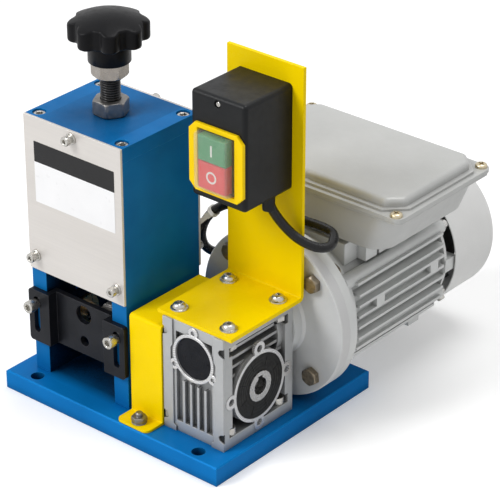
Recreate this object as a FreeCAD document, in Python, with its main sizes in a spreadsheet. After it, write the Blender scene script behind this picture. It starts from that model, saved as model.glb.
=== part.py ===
import FreeCAD, Part
import math
import os

import Sketcher
from FreeCAD import Placement, Rotation, Vector

# Electric wire stripping machine, in mm, +Z up. The origin is the centre of the base plate's
# underside, the wire goes in at the front, -Y, and the motor stands out behind, +Y.

doc = FreeCAD.newDocument("wire_stripping_machine")
sheet = doc.addObject("Spreadsheet::Sheet", "Sizes")
sheet_rows = []


class Size:
    """A length of the machine: its formula over the sheet, and what it comes to in mm."""

    def __init__(self, formula, value):
        self.formula = formula
        self.value = value

    def joined(self, sign, other, other_first=False):
        other = as_size(other)
        left, right = (other, self) if other_first else (self, other)
        if sign == "+":
            value = left.value + right.value
        elif sign == "-":
            value = left.value - right.value
        elif sign == "*":
            value = left.value * right.value
        else:
            value = left.value / right.value
        return Size("(%s %s %s)" % (left.formula, sign, right.formula), value)

    def __add__(self, other):
        return self.joined("+", other)

    def __radd__(self, other):
        return self.joined("+", other, True)

    def __sub__(self, other):
        return self.joined("-", other)

    def __rsub__(self, other):
        return self.joined("-", other, True)

    def __mul__(self, other):
        return self.joined("*", other)

    def __rmul__(self, other):
        return self.joined("*", other, True)

    def __truediv__(self, other):
        return self.joined("/", other)

    def __neg__(self):
        return self.joined("*", -1)


def as_size(quantity):
    """A plain number as a size, so that every length is handled alike."""
    if isinstance(quantity, Size):
        return quantity
    return Size("(%r)" % float(quantity), float(quantity))


def size(alias, value, meaning):
    """One row of the sheet: what the size is, its value and its alias."""
    sheet_rows.append(alias)
    row = len(sheet_rows)
    sheet.set("A%d" % row, meaning)
    sheet.set("B%d" % row, str(value))
    sheet.setAlias("B%d" % row, alias)
    return Size("Sizes." + alias, float(value))


def bind(thing, path, quantity):
    """Ties a property of a feature to the sheet."""
    thing.setExpression(path, as_size(quantity).formula)


# Outlines: each of these gives a function that draws one closed shape on a sketch, held to the
# sketch's own origin by dimensions from the sheet.

def hold(sketch, kind, geometry, point, quantity):
    """One dimension from the sketch's origin to a point of its geometry."""
    constraint = Sketcher.Constraint(kind, -1, 1, geometry, point, as_size(quantity).value)
    bind(sketch, "Constraints[%d]" % sketch.addConstraint(constraint), quantity)


def outline(*corners):
    """A closed shape of straight sides through its corners."""
    def draw(sketch):
        spots = [Vector(as_size(x).value, as_size(y).value, 0) for x, y in corners]
        first = sketch.GeometryCount
        for index, spot in enumerate(spots):
            sketch.addGeometry(Part.LineSegment(spot, spots[(index + 1) % len(spots)]))
        for index in range(len(spots)):
            after = first + (index + 1) % len(spots)
            sketch.addConstraint(Sketcher.Constraint("Coincident", first + index, 2, after, 1))
        for index, (x, y) in enumerate(corners):
            hold(sketch, "DistanceX", first + index, 1, x)
            hold(sketch, "DistanceY", first + index, 1, y)
    return draw


def box(x, y, width, height):
    """A rectangle about its centre."""
    left, right = x - as_size(width) / 2, x + as_size(width) / 2
    low, high = y - as_size(height) / 2, y + as_size(height) / 2
    return outline((left, low), (right, low), (right, high), (left, high))


def disc(x, y, diameter):
    """A circle about its centre."""
    def draw(sketch):
        centre = Vector(as_size(x).value, as_size(y).value, 0)
        circle = Part.Circle(centre, Vector(0, 0, 1), as_size(diameter).value / 2)
        geometry = sketch.addGeometry(circle)
        hold(sketch, "DistanceX", geometry, 3, x)
        hold(sketch, "DistanceY", geometry, 3, y)
        across = Sketcher.Constraint("Diameter", geometry, as_size(diameter).value)
        bind(sketch, "Constraints[%d]" % sketch.addConstraint(across), diameter)
    return draw


def hexagon(x, y, flats, turn=0.0):
    """A hexagon about its centre, by its width across the flats."""
    corners = []
    for index in range(6):
        angle = math.radians(turn + 60 * index)
        reach = as_size(flats) * (1 / math.sqrt(3))
        corners.append((x + reach * math.cos(angle), y + reach * math.sin(angle)))
    return outline(*corners)


def slot(x, y, width, length):
    """An upright slot with round ends about its centre."""
    def draw(sketch):
        radius = as_size(width) / 2
        reach = as_size(length) / 2 - radius
        centre_x, centre_y = as_size(x).value, as_size(y).value
        first = sketch.GeometryCount
        for side in (1, -1):
            middle = Vector(centre_x, centre_y + side * reach.value, 0)
            circle = Part.Circle(middle, Vector(0, 0, 1), radius.value)
            start = 0.0 if side > 0 else math.pi
            sketch.addGeometry(Part.ArcOfCircle(circle, start, start + math.pi))
            edge = centre_x - side * radius.value
            sketch.addGeometry(Part.LineSegment(
                Vector(edge, centre_y + side * reach.value, 0),
                Vector(edge, centre_y - side * reach.value, 0)))
        for index in range(4):
            after = first + (index + 1) % 4
            sketch.addConstraint(Sketcher.Constraint("Tangent", first + index, 2, after, 1))
        hold(sketch, "DistanceX", first, 3, x)
        hold(sketch, "DistanceY", first, 3, y + reach)
        hold(sketch, "DistanceY", first + 2, 3, y - reach)
        round_end = Sketcher.Constraint("Radius", first, radius.value)
        bind(sketch, "Constraints[%d]" % sketch.addConstraint(round_end), radius)
    return draw


# Features: each works on one body, between two heights along the normal of a base plane.

def new_body(label, x=0, y=0, z=0, turn=None):
    """One sub-part, with its own origin at x, y, z."""
    body = doc.addObject("PartDesign::Body", label)
    body.Label = label
    body.AllowCompound = True
    spot = Vector(as_size(x).value, as_size(y).value, as_size(z).value)
    body.Placement = Placement(spot, turn or Rotation())
    for axis, quantity in zip("xyz", (x, y, z)):
        bind(body, "Placement.Base." + axis, quantity)
    return body


def origin_feature(body, role):
    """A base plane or axis of the body."""
    return next(feature for feature in body.Origin.OriginFeatures if feature.Role == role)


def new_sketch(body, plane, height, shapes):
    """A sketch parallel to a base plane of the body, with its shapes."""
    sketch = body.newObject("Sketcher::SketchObject", body.Label + "_sketch")
    sketch.AttachmentSupport = (origin_feature(body, plane + "_Plane"), "")
    sketch.MapMode = "FlatFace"
    offset = -as_size(height) if plane == "XZ" else as_size(height)
    sketch.AttachmentOffset = Placement(Vector(0, 0, offset.value), Rotation())
    bind(sketch, "AttachmentOffset.Base.z", offset)
    for shape in shapes:
        shape(sketch)
    return sketch


def prism(body, kind, plane, start, depth, shapes):
    feature = body.newObject("PartDesign::" + kind, body.Label + "_" + kind.lower())
    feature.Profile = new_sketch(body, plane, start, shapes)
    feature.Length = as_size(depth).value
    bind(feature, "Length", depth)
    return feature


def pad(body, plane, low, high, *shapes):
    """Adds material between two heights."""
    start = high if plane == "XZ" else low
    return prism(body, "Pad", plane, start, as_size(high) - low, shapes)


def pocket(body, plane, low, high, *shapes):
    """Takes material away between two heights."""
    start = low if plane == "XZ" else high
    return prism(body, "Pocket", plane, start, as_size(high) - low, shapes)


TURNING = {"X": ("XY", "H_Axis", True), "Y": ("XY", "V_Axis", False), "Z": ("XZ", "V_Axis", False)}


def turned(body, axis, *profile, kind="Revolution"):
    """A turned piece: its profile is given as radius and height along the axis."""
    plane, reference, swapped = TURNING[axis]
    corners = [(height, radius) if swapped else (radius, height) for radius, height in profile]
    feature = body.newObject("PartDesign::" + kind, body.Label + "_" + kind.lower())
    sketch = new_sketch(body, plane, 0, [outline(*corners)])
    feature.Profile = sketch
    feature.ReferenceAxis = (sketch, [reference])
    feature.Angle = 360
    return feature


def turned_outwards(body, y, angle, *profile, kind="Revolution"):
    """A piece turned about a line that leaves the Y axis at y, at an angle up from the X axis."""
    along_x, along_z = math.cos(math.radians(angle)), math.sin(math.radians(angle))
    corners = [(height * along_x - radius * along_z, height * along_z + radius * along_x)
               for radius, height in [(as_size(r), as_size(h)) for r, h in profile]]

    def axis_line(sketch):
        line = Part.LineSegment(Vector(0, 0, 0), Vector(along_x, along_z, 0))
        index = sketch.addGeometry(line, True)
        sketch.addConstraint(Sketcher.Constraint("Block", index))

    feature = body.newObject("PartDesign::" + kind, body.Label + "_" + kind.lower())
    sketch = new_sketch(body, "XZ", y, [outline(*corners), axis_line])
    feature.Profile = sketch
    feature.ReferenceAxis = (sketch, ["Axis0"])
    feature.Angle = 360
    return feature


def turned_groove(body, axis, *profile):
    """A turned recess."""
    return turned(body, axis, *profile, kind="Groove")


def repeat_round(body, axis, count, *features):
    """Repeats features evenly round an axis of the body."""
    body.Tip.recompute(True)
    pattern = body.newObject("PartDesign::PolarPattern", body.Label + "_round")
    pattern.Originals = list(features)
    pattern.Axis = (origin_feature(body, axis + "_Axis"), [""])
    pattern.Angle = 360
    pattern.Occurrences = count
    body.Tip = pattern
    return pattern


def dress(body, kind, amount, wanted):
    """Rounds or bevels the edges that a test on an edge picks."""
    base = body.Tip
    base.recompute(True)
    picked = []
    for index, edge in enumerate(base.Shape.Edges):
        if wanted(edge):
            picked.append("Edge%d" % (index + 1))
    feature = body.newObject("PartDesign::" + kind, body.Label + "_" + kind.lower())
    feature.Base = (base, picked)
    path = "Radius" if kind == "Fillet" else "Size"
    setattr(feature, path, as_size(amount).value)
    bind(feature, path, amount)
    return feature


def is_along(edge, axis):
    """Whether an edge is straight and parallel to an axis."""
    if edge.Curve.TypeId != "Part::GeomLine":
        return False
    return abs(getattr(edge.tangentAt(edge.FirstParameter), axis)) > 0.999


def near(value, quantity, slack=0.01):
    return abs(value - as_size(quantity).value) < slack


# Sizes shared by several pieces.

base_width = size("base_width", 222, "base plate, left to right")
base_depth = size("base_depth", 186, "base plate, front to back")
base_thickness = size("base_thickness", 16, "base plate thickness")
bolt_inset_side = size("bolt_inset_side", 26, "bench bolt holes, in from the sides")
bolt_inset_front = size("bolt_inset_front", 9.5, "bench bolt holes, in from front and back")
bench_hole = size("bench_hole", 11, "bench bolt hole")

tower_inset = size("tower_inset", 15, "base's left edge to the tower")
tower_setback = size("tower_setback", 20, "base's front edge to the tower")
tower_width = size("tower_width", 100, "tower, left to right")
tower_depth = size("tower_depth", 84, "tower, front to back")
side_height = size("side_height", 212, "height of the side plates")
side_thickness = size("side_thickness", 15, "thickness of the side plates")
top_thickness = size("top_thickness", 12, "thickness of the top plate")
cover_thickness = size("cover_thickness", 2, "tower covers")
cover_height = size("cover_height", 132, "height of the tower covers")

output_height = size("output_height", 40, "roller shaft above the base")
gear_centres = size("gear_centres", 30, "worm to wheel centre distance")
gear_margin = size("gear_margin", 40.5, "gearbox centre to the base's right edge")
shaft_diameter = size("shaft_diameter", 14, "roller shaft")
running = size("running", 0.05, "running clearance all round")
touch_gap = size("touch_gap", 0.3, "gap beside pieces that move")

m4 = size("m4", 4, "small screw")
m4_head = size("m4_head", 7, "small screw's head")
m6 = size("m6", 6, "screw")
m6_head = size("m6_head", 10, "screw's head")
m8 = size("m8", 8, "flange bolt")
spindle_thread = size("spindle_thread", 16, "spindle and its nuts")
spindle_nut = size("spindle_nut", 27, "spindle nuts across flats")
spindle_nut_height = size("spindle_nut_height", 12, "height of the spindle nuts")

tower_x = -base_width / 2 + tower_inset + tower_width / 2
tower_y = -base_depth / 2 + tower_setback + tower_depth / 2
tower_front = tower_y - tower_depth / 2
tower_back = tower_y + tower_depth / 2
side_top = base_thickness + side_height
tower_top = side_top + top_thickness
inner_half = tower_width / 2 - side_thickness
plate_x = tower_width / 2 - side_thickness / 2
gear_x = base_width / 2 - gear_margin
gear_y = tower_y
shaft_z = base_thickness + output_height
motor_z = shaft_z + gear_centres


# Fasteners, made as groups: each group is one body with a solid for each screw.

socket_share = 0.5


def cap_screws(body, plane, seat, out, places, thread, head, length):
    """Socket cap screws, with their heads on the seat and facing out along the normal."""
    reach = as_size(thread)
    head_low, head_high = (seat, seat + reach) if out > 0 else (seat - reach, seat)
    shank_low, shank_high = (seat - length, seat) if out > 0 else (seat, seat + length)
    socket_low = seat + reach / 2 if out > 0 else seat - reach
    pad(body, plane, head_low, head_high, *[disc(x, y, head) for x, y in places])
    pad(body, plane, shank_low, shank_high, *[disc(x, y, thread) for x, y in places])
    pocket(body, plane, socket_low, socket_low + reach / 2,
           *[hexagon(x, y, as_size(head) * socket_share) for x, y in places])


def hex_screws(body, plane, seat, out, places, thread, flats, length):
    """Hexagon head screws, with their heads on the seat and facing out along the normal."""
    height = as_size(thread) * 0.65
    head_low, head_high = (seat, seat + height) if out > 0 else (seat - height, seat)
    shank_low, shank_high = (seat - length, seat) if out > 0 else (seat, seat + length)
    pad(body, plane, head_low, head_high, *[hexagon(x, y, flats) for x, y in places])
    pad(body, plane, shank_low, shank_high, *[disc(x, y, thread) for x, y in places])


def rings(body, plane, low, high, places, outer, inner):
    """Washers, nuts' bores or sleeves: rings of one size at several places."""
    pad(body, plane, low, high, *[disc(x, y, outer) for x, y in places],
        *[disc(x, y, inner) for x, y in places])


def mirrored(x, y):
    """The four places at plus and minus x, y."""
    return [(side * as_size(x), end * as_size(y)) for side in (-1, 1) for end in (-1, 1)]


# Base plate: bolted to a bench at its corners. The tower's screws come up from underneath, with
# their heads sunk, and the gearbox feet screw down into it.

post_screw_y = size("post_screw_y", 26, "tower screws, from the tower's centre line")
head_sink = size("head_sink", 7, "depth of the recess for a screw head")
foot_screw_x = size("foot_screw_x", 24.5, "gearbox screws, from its centre, sideways")
foot_screw_y = size("foot_screw_y", 28.5, "gearbox screws, from its centre, front to back")
guard_stud_x = size("guard_stud_x", 25, "guard stud from the base's centre line")
guard_stud_y = size("guard_stud_y", 9, "guard stud from the base's front edge")
base_bevel = size("base_bevel", 1, "bevel on the base's top edges")
thread_depth = size("thread_depth", 12, "depth of the tapped holes in the base")

base = new_body("base_plate")
pad(base, "XY", 0, base_thickness, box(0, 0, base_width, base_depth))
pocket(base, "XY", 0, base_thickness,
       *[disc(x, y, bench_hole) for x, y in
         mirrored(base_width / 2 - bolt_inset_side, base_depth / 2 - bolt_inset_front)])
post_places = [(tower_x + x, tower_y + y) for x, y in mirrored(plate_x, post_screw_y)]
foot_places = [(gear_x + x, gear_y + y) for x, y in mirrored(foot_screw_x, foot_screw_y)]
guard_stud = (guard_stud_x, -base_depth / 2 + guard_stud_y)
pocket(base, "XY", 0, base_thickness, *[disc(x, y, m6 + 2 * running) for x, y in post_places])
pocket(base, "XY", 0, head_sink, *[disc(x, y, m6_head + 1) for x, y in post_places])
pocket(base, "XY", base_thickness - thread_depth, base_thickness,
       *[disc(x, y, m6) for x, y in foot_places + [guard_stud]])
dress(base, "Chamfer", base_bevel, lambda edge: near(edge.BoundBox.ZMin, base_thickness)
      and (is_along(edge, "x") or is_along(edge, "y")))


# Tower: two thick side plates joined by a top plate. Each side plate has a bore for the roller
# shaft's bush, an upright groove that guides the blade carrier, and tapped holes in its edges.

bush_diameter = size("bush_diameter", 20, "outside of the shaft bushes")
bush_flange = size("bush_flange", 26, "flange of the shaft bushes")
bush_flange_thickness = size("bush_flange_thickness", 2.5, "thickness of that flange")
tongue_width = size("tongue_width", 20, "tongues on the blade carrier")
tongue_depth = size("tongue_depth", 5, "how far the tongues stand out")
groove_bottom = size("groove_bottom", 62, "grooves start above the base")
guide_screw_x = size("guide_screw_x", 42.5, "guide screws, from the tower's centre line")
guide_screw_z = size("guide_screw_z", 62.5, "guide screws above the base")
cover_screw_low = size("cover_screw_low", 12.5, "cover's lower screws above its bottom edge")
cover_screw_depth = size("cover_screw_depth", 10, "depth of the tapped holes for covers")
top_screw_inset = size("top_screw_inset", 8, "top plate's screws from its front and back")
top_screw_depth = size("top_screw_depth", 18, "tapped holes under the top plate's screws")
guide_thread = size("guide_thread", 14, "tapped holes for the guide screws")
cover_bottom = tower_top - cover_height
cover_low_z = cover_bottom + cover_screw_low
cover_high_z = tower_top - top_thickness / 2


def side_plate(label, inward):
    """A side plate of the tower. Its inner face looks along X times inward."""
    body = new_body(label, tower_x - inward * plate_x, tower_y, base_thickness)
    pad(body, "XY", 0, side_height, box(0, 0, side_thickness, tower_depth))
    inner_face = inward * side_thickness / 2
    groove_centre = inner_face - inward * tongue_depth / 2
    pocket(body, "XY", groove_bottom, side_height,
           box(groove_centre, 0, tongue_depth, tongue_width + 2 * running))
    pocket(body, "YZ", -side_thickness / 2, side_thickness / 2, disc(0, output_height, bush_diameter))
    guide_x = inward * (plate_x - guide_screw_x)
    low_screw = (0, cover_low_z - base_thickness)
    pocket(body, "XZ", -tower_depth / 2, -tower_depth / 2 + guide_thread,
           disc(guide_x, guide_screw_z, m6))
    pocket(body, "XZ", -tower_depth / 2, -tower_depth / 2 + cover_screw_depth,
           disc(*low_screw, m4))
    pocket(body, "XZ", tower_depth / 2 - cover_screw_depth, tower_depth / 2, disc(*low_screw, m4))
    edge_holes = [(0, end * (tower_depth / 2 - top_screw_inset)) for end in (-1, 1)]
    pocket(body, "XY", side_height - top_screw_depth, side_height,
           *[disc(x, y, m6) for x, y in edge_holes])
    pocket(body, "XY", 0, thread_depth, *[disc(0, end * post_screw_y, m6) for end in (-1, 1)])
    return body


side_plate("left_side_plate", 1)
side_plate("right_side_plate", -1)

top = new_body("top_plate", tower_x, tower_y, side_top)
top_places = mirrored(plate_x, tower_depth / 2 - top_screw_inset)
pad(top, "XY", 0, top_thickness, box(0, 0, tower_width, tower_depth))
pocket(top, "XY", 0, top_thickness, disc(0, 0, spindle_thread + 2 * running))
pocket(top, "XY", 0, top_thickness, *[disc(x, y, m6 + 2 * running) for x, y in top_places])
pocket(top, "XY", top_thickness - head_sink, top_thickness,
       *[disc(x, y, m6_head + 1) for x, y in top_places])
pocket(top, "XZ", -tower_depth / 2, -tower_depth / 2 + cover_screw_depth,
       disc(0, top_thickness / 2, m4))
pocket(top, "XZ", tower_depth / 2 - cover_screw_depth, tower_depth / 2,
       disc(0, top_thickness / 2, m4))

top_screws = new_body("top_plate_screws", tower_x, tower_y, side_top)
cap_screws(top_screws, "XY", top_thickness - head_sink, 1, top_places, m6, m6_head,
           top_thickness - head_sink + top_screw_depth - 3)

base_screws = new_body("base_screws")
cap_screws(base_screws, "XY", head_sink, -1, post_places, m6, m6_head,
           base_thickness - head_sink + thread_depth - 2)


# Tower covers: two alike, of 2 mm sheet, each held by three small screws with washers.

cover_places = [(-plate_x, cover_screw_low), (plate_x, cover_screw_low),
                (0, cover_height - top_thickness / 2)]
washer_thickness = size("washer_thickness", 1.6, "washers under the cover screws")


def tower_cover(label, face_y, out):
    """A tower cover against the face at face_y, standing out along Y times out."""
    body = new_body(label, tower_x, face_y, cover_bottom)
    low, high = (0, cover_thickness) if out > 0 else (-cover_thickness, 0)
    pad(body, "XZ", low, high, box(0, cover_height / 2, tower_width, cover_height))
    pocket(body, "XZ", low, high, *[disc(x, z, m4 + 2 * running) for x, z in cover_places])
    return body


tower_cover("front_cover", tower_front, -1)
tower_cover("rear_cover", tower_back, 1)

cover_screws = new_body("cover_screws", tower_x, tower_y, cover_bottom)
cover_face = tower_depth / 2 + cover_thickness
for out in (-1, 1):
    outer = cover_face + washer_thickness
    low, high = (cover_face, outer) if out > 0 else (-outer, -cover_face)
    cap_screws(cover_screws, "XZ", out * outer, out, cover_places, m4, m4_head,
               washer_thickness + cover_thickness + cover_screw_depth - 2)
    pad(cover_screws, "XZ", low, high, *[disc(x, z, m4_head + 1) for x, z in cover_places])


# Wire guide: a black cranked plate across the tower's front. Its flanges lie on the side plates
# and its web stands back between them, with a large and a small wire hole. It slides up and down
# on two screws, each with a plain sleeve under its head.

guide_width = size("guide_width", 102, "guide plate, left to right")
guide_height = size("guide_height", 46, "guide plate height")
guide_bottom = size("guide_bottom", 28, "guide plate's lower edge above the base, as in use")
guide_wall = size("guide_wall", 4.5, "guide plate thickness")
guide_step = size("guide_step", 29, "half width of the guide's web")
guide_crank = size("guide_crank", 9, "web set back from the flanges")
guide_slot_width = size("guide_slot_width", 6.4, "width of the guide's slots")
guide_slot_length = size("guide_slot_length", 32, "length of the guide's slots")
guide_slot_low = size("guide_slot_low", 8.5, "lower end of the slots above the guide's edge")
wire_hole = size("wire_hole", 16, "large wire hole")
wire_hole_height = size("wire_hole_height", 35.5, "large wire hole above the guide's edge")
small_hole = size("small_hole", 9, "small wire hole")
small_hole_height = size("small_hole_height", 12, "small wire hole above the guide's edge")
guide_corner = size("guide_corner", 3, "rounding of the guide's corners")
sleeve_length = size("sleeve_length", 4, "sleeve under a guide screw's head")

guide = new_body("guide_plate", tower_x, tower_front - 2 * running, base_thickness + guide_bottom)
half = guide_width / 2
step_out = guide_step + guide_wall
web_front = guide_crank - guide_wall
pad(guide, "XY", 0, guide_height, outline(
    (-half, -guide_wall), (-guide_step, -guide_wall), (-guide_step, web_front),
    (guide_step, web_front), (guide_step, -guide_wall), (half, -guide_wall),
    (half, 0), (step_out, 0), (step_out, guide_crank), (-step_out, guide_crank),
    (-step_out, 0), (-half, 0)))
slot_middle = guide_slot_low + guide_slot_length / 2
pocket(guide, "XZ", -guide_wall, 0,
       *[slot(side * guide_screw_x, slot_middle, guide_slot_width, guide_slot_length)
         for side in (-1, 1)])
pocket(guide, "XZ", web_front, guide_crank, disc(0, wire_hole_height, wire_hole),
       disc(0, small_hole_height, small_hole))
dress(guide, "Fillet", guide_corner, lambda edge: is_along(edge, "y")
      and near(abs(edge.BoundBox.XMax), half))

guide_screws = new_body("guide_screws", tower_x, tower_front, base_thickness)
guide_places = [(side * guide_screw_x, guide_screw_z) for side in (-1, 1)]
sleeve_front = -(guide_wall + 4 * running + sleeve_length)
cap_screws(guide_screws, "XZ", sleeve_front, -1, guide_places, m6, m6_head,
           guide_thread - 1 - sleeve_front)
rings(guide_screws, "XZ", sleeve_front, sleeve_front + sleeve_length, guide_places,
      m6_head - 1.5, m6)


# Blade carrier: an aluminium block that slides up and down in the tower. It carries the cutting
# blade in a slot, on a bolt through both cheeks, and hangs on the spindle's collar.

blade_radius = size("blade_radius", 29, "cutting blade's radius")
blade_thickness = size("blade_thickness", 3, "cutting blade's thickness")
blade_lift = size("blade_lift", 17.5, "blade above the roller, as set")
roller_radius = size("roller_radius", 15, "feed roller's radius")
roller_width = size("roller_width", 24, "feed roller's width")
carrier_depth = size("carrier_depth", 52, "blade carrier, front to back")
carrier_below = size("carrier_below", 13.5, "carrier below the blade's centre")
carrier_above = size("carrier_above", 54.5, "carrier above the blade's centre")
blade_slot = size("blade_slot", 8, "width of the blade's slot")
axle_diameter = size("axle_diameter", 10, "blade bolt")
axle_head = size("axle_head", 16, "blade bolt's head")
axle_head_length = size("axle_head_length", 6, "length of that head")
axle_nut = size("axle_nut", 17, "blade bolt's nut, across flats")
axle_nut_length = size("axle_nut_length", 8, "length of that nut")
collar_diameter = size("collar_diameter", 22, "collar at the spindle's foot")
collar_length = size("collar_length", 8, "length of the collar's recess")
retainer_width = size("retainer_width", 44, "plate that holds the collar, sideways")
retainer_depth = size("retainer_depth", 30, "that plate, front to back")
retainer_thickness = size("retainer_thickness", 5, "that plate's thickness")
retainer_screw = size("retainer_screw", 16.5, "its screws from the spindle")

blade_z = shaft_z + roller_radius + blade_lift + blade_radius
carrier_half = inner_half - 2 * running
carrier_top = blade_z + carrier_above
head_floor = inner_half - axle_head_length - 1
nut_floor = inner_half - axle_nut_length - 1

carrier = new_body("blade_carrier", tower_x, tower_y, blade_z)
pad(carrier, "XZ", -carrier_depth / 2, carrier_depth / 2,
    box(0, (carrier_above - carrier_below) / 2, carrier_half * 2, carrier_above + carrier_below))
pad(carrier, "XY", -carrier_below, carrier_above,
    box(0, 0, (inner_half + tongue_depth - 2 * running) * 2, tongue_width))
pocket(carrier, "XZ", -carrier_depth / 2, carrier_depth / 2,
       box(0, (blade_radius + 5 - carrier_below) / 2, blade_slot, blade_radius + 5 + carrier_below))
pocket(carrier, "YZ", -inner_half, inner_half, disc(0, 0, axle_diameter))
pocket(carrier, "YZ", -inner_half - tongue_depth, -head_floor, disc(0, 0, axle_head + 2))
pocket(carrier, "YZ", nut_floor, inner_half + tongue_depth, disc(0, 0, axle_nut * 1.1547 + 2))
pocket(carrier, "XY", carrier_above - collar_length, carrier_above,
       disc(0, 0, collar_diameter + 2 * running))
pocket(carrier, "XY", carrier_above - 12, carrier_above,
       *[disc(side * retainer_screw, 0, m4) for side in (-1, 1)])

blade = new_body("cutting_blade", tower_x, tower_y, blade_z)
edge_start = blade_radius - 7
turned(blade, "X", (axle_diameter / 2 + running, -blade_thickness / 2),
       (edge_start, -blade_thickness / 2), (blade_radius, -0.15), (blade_radius, 0.15),
       (edge_start, blade_thickness / 2), (axle_diameter / 2 + running, blade_thickness / 2))

axle = new_body("blade_axle", tower_x, tower_y, blade_z)
pad(axle, "YZ", -head_floor - axle_head_length, -head_floor, disc(0, 0, axle_head))
pad(axle, "YZ", -head_floor, nut_floor + axle_nut_length, disc(0, 0, axle_diameter))
pocket(axle, "YZ", -head_floor - axle_head_length, -head_floor - axle_head_length / 2,
       hexagon(0, 0, axle_head / 2))
pad(axle, "YZ", nut_floor, nut_floor + axle_nut_length - 1, hexagon(0, 0, axle_nut))
spacer_inner = blade_thickness / 2 + running
pad(axle, "YZ", spacer_inner, blade_slot / 2, disc(0, 0, axle_head))
pad(axle, "YZ", -blade_slot / 2, -spacer_inner, disc(0, 0, axle_head))

retainer = new_body("spindle_retainer", tower_x, tower_y, carrier_top)
retainer_places = [(side * retainer_screw, 0) for side in (-1, 1)]
pad(retainer, "XY", 0, retainer_thickness, box(0, 0, retainer_width, retainer_depth))
pocket(retainer, "XY", 0, retainer_thickness, disc(0, 0, spindle_thread + 2 * running))
cap_screws(retainer, "XY", retainer_thickness, 1, retainer_places, m4, m4_head,
           retainer_thickness + 10)


# Spindle and star knob: the spindle screws through the top plate, with a lock nut on the plate
# and a second nut that locks the knob on. Turning the knob raises or lowers the blade.

spindle_reach = size("spindle_reach", 19, "spindle in view between the two nuts, as set")
knob_diameter = size("knob_diameter", 62, "star knob over its lobes")
knob_core = size("knob_core", 51, "star knob between its lobes")
knob_lobe = size("knob_lobe", 17, "width of one lobe")
knob_lobes = 8
knob_hub = size("knob_hub", 33, "knob's hub")
knob_hub_height = size("knob_hub_height", 17, "height of the hub")
knob_rim_height = size("knob_rim_height", 15, "height of the lobes")
knob_dome = size("knob_dome", 7, "height of the dome")
knob_rounding = size("knob_rounding", 2.5, "rounding of the knob's rim")

collar_bottom = carrier_top - collar_length
jam_bottom = tower_top + spindle_nut_height + spindle_reach
hub_bottom = jam_bottom + spindle_nut_height
spindle_end = hub_bottom + knob_hub_height + knob_rim_height / 2

spindle = new_body("spindle", tower_x, tower_y, collar_bottom)
turned(spindle, "Z", (0, running), (collar_diameter / 2, running),
       (collar_diameter / 2, collar_length - running), (spindle_thread / 2, collar_length - running),
       (spindle_thread / 2, spindle_end - collar_bottom), (0, spindle_end - collar_bottom))


def spindle_nut_at(label, z, clearance, turn):
    """A thick nut on the spindle, bevelled at both ends."""
    body = new_body(label, tower_x, tower_y, z)
    pad(body, "XY", 0, spindle_nut_height, hexagon(0, 0, spindle_nut, turn))
    pocket(body, "XY", 0, spindle_nut_height, disc(0, 0, spindle_thread + 2 * clearance))
    corner = spindle_nut / math.sqrt(3) + 1
    rise = as_size(corner - spindle_nut / 2) * math.tan(math.radians(30))
    turned_groove(body, "Z", (spindle_nut / 2, spindle_nut_height), (corner, spindle_nut_height),
                  (corner, spindle_nut_height - rise))
    turned_groove(body, "Z", (spindle_nut / 2, 0), (corner, 0), (corner, rise))
    return body


spindle_nut_at("lock_nut", tower_top + 2 * running, running, 27)
spindle_nut_at("knob_jam_nut", jam_bottom, as_size(0), 12)

knob = new_body("adjusting_knob", tower_x, tower_y, hub_bottom)
rim_bottom = knob_hub_height
rim_top = knob_hub_height + knob_rim_height
pad(knob, "XY", 0, rim_bottom, disc(0, 0, knob_hub))
pad(knob, "XY", rim_bottom, rim_top, disc(0, 0, knob_core))
lobe = pad(knob, "XY", rim_bottom, rim_top,
           disc(0, (knob_diameter - knob_lobe) / 2, knob_lobe))
repeat_round(knob, "Z", knob_lobes, lobe)
dress(knob, "Fillet", knob_rounding, lambda edge: near(edge.BoundBox.ZMin, rim_top)
      and near(edge.BoundBox.ZMax, rim_top))
dome_edge = knob_core / 2 - 1
turned(knob, "Z", (0, rim_top - 1), (dome_edge, rim_top - 1), (dome_edge, rim_top),
       (dome_edge * 0.82, rim_top + knob_dome * 0.42), (dome_edge * 0.6, rim_top + knob_dome * 0.72),
       (dome_edge * 0.34, rim_top + knob_dome * 0.93), (0, rim_top + knob_dome))
pocket(knob, "XY", 0, spindle_end - hub_bottom, disc(0, 0, spindle_thread))


# Roller shaft: it runs in two flanged bronze bushes in the side plates, carries the feed roller
# between them, and reaches into the gearbox's hollow shaft.

shaft_overhang = size("shaft_overhang", 5, "shaft beyond the tower's left side")
shaft_end = size("shaft_end", 14.5, "shaft's right end, past the gearbox centre")
key_width = size("key_width", 5, "keys, width and height")
key_height = size("key_height", 2, "key above the shaft")
roller_key = size("roller_key", 20, "length of the roller's key")
output_key = size("output_key", 40, "length of the gearbox's key")
circlip_diameter = size("circlip_diameter", 18, "shaft's circlip")

bushes = new_body("shaft_bushes", tower_x, tower_y, shaft_z)
for side in (-1, 1):
    flange = [side * (inner_half - bush_flange_thickness), side * inner_half]
    barrel = [side * inner_half, side * (tower_width / 2)]
    for (near_end, far_end), across in ((flange, bush_flange), (barrel, bush_diameter)):
        low, high = (near_end, far_end) if side > 0 else (far_end, near_end)
        pad(bushes, "YZ", low, high, disc(0, 0, across))
pocket(bushes, "YZ", -tower_width / 2, tower_width / 2, disc(0, 0, shaft_diameter + 2 * running))

shaft = new_body("drive_shaft", tower_x, tower_y, shaft_z)
shaft_left = -tower_width / 2 - shaft_overhang
shaft_right = gear_x - tower_x + shaft_end
key_top = shaft_diameter / 2 + key_height
pad(shaft, "YZ", shaft_left, shaft_right, disc(0, 0, shaft_diameter))
pad(shaft, "YZ", shaft_left + 2.5, shaft_left + 3.7, disc(0, 0, circlip_diameter))
pad(shaft, "YZ", -roller_key / 2, roller_key / 2, box(0, key_top / 2, key_width, key_top))
pad(shaft, "YZ", shaft_right - 2 - output_key, shaft_right - 2,
    box(0, key_top / 2, key_width, key_top))

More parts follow.
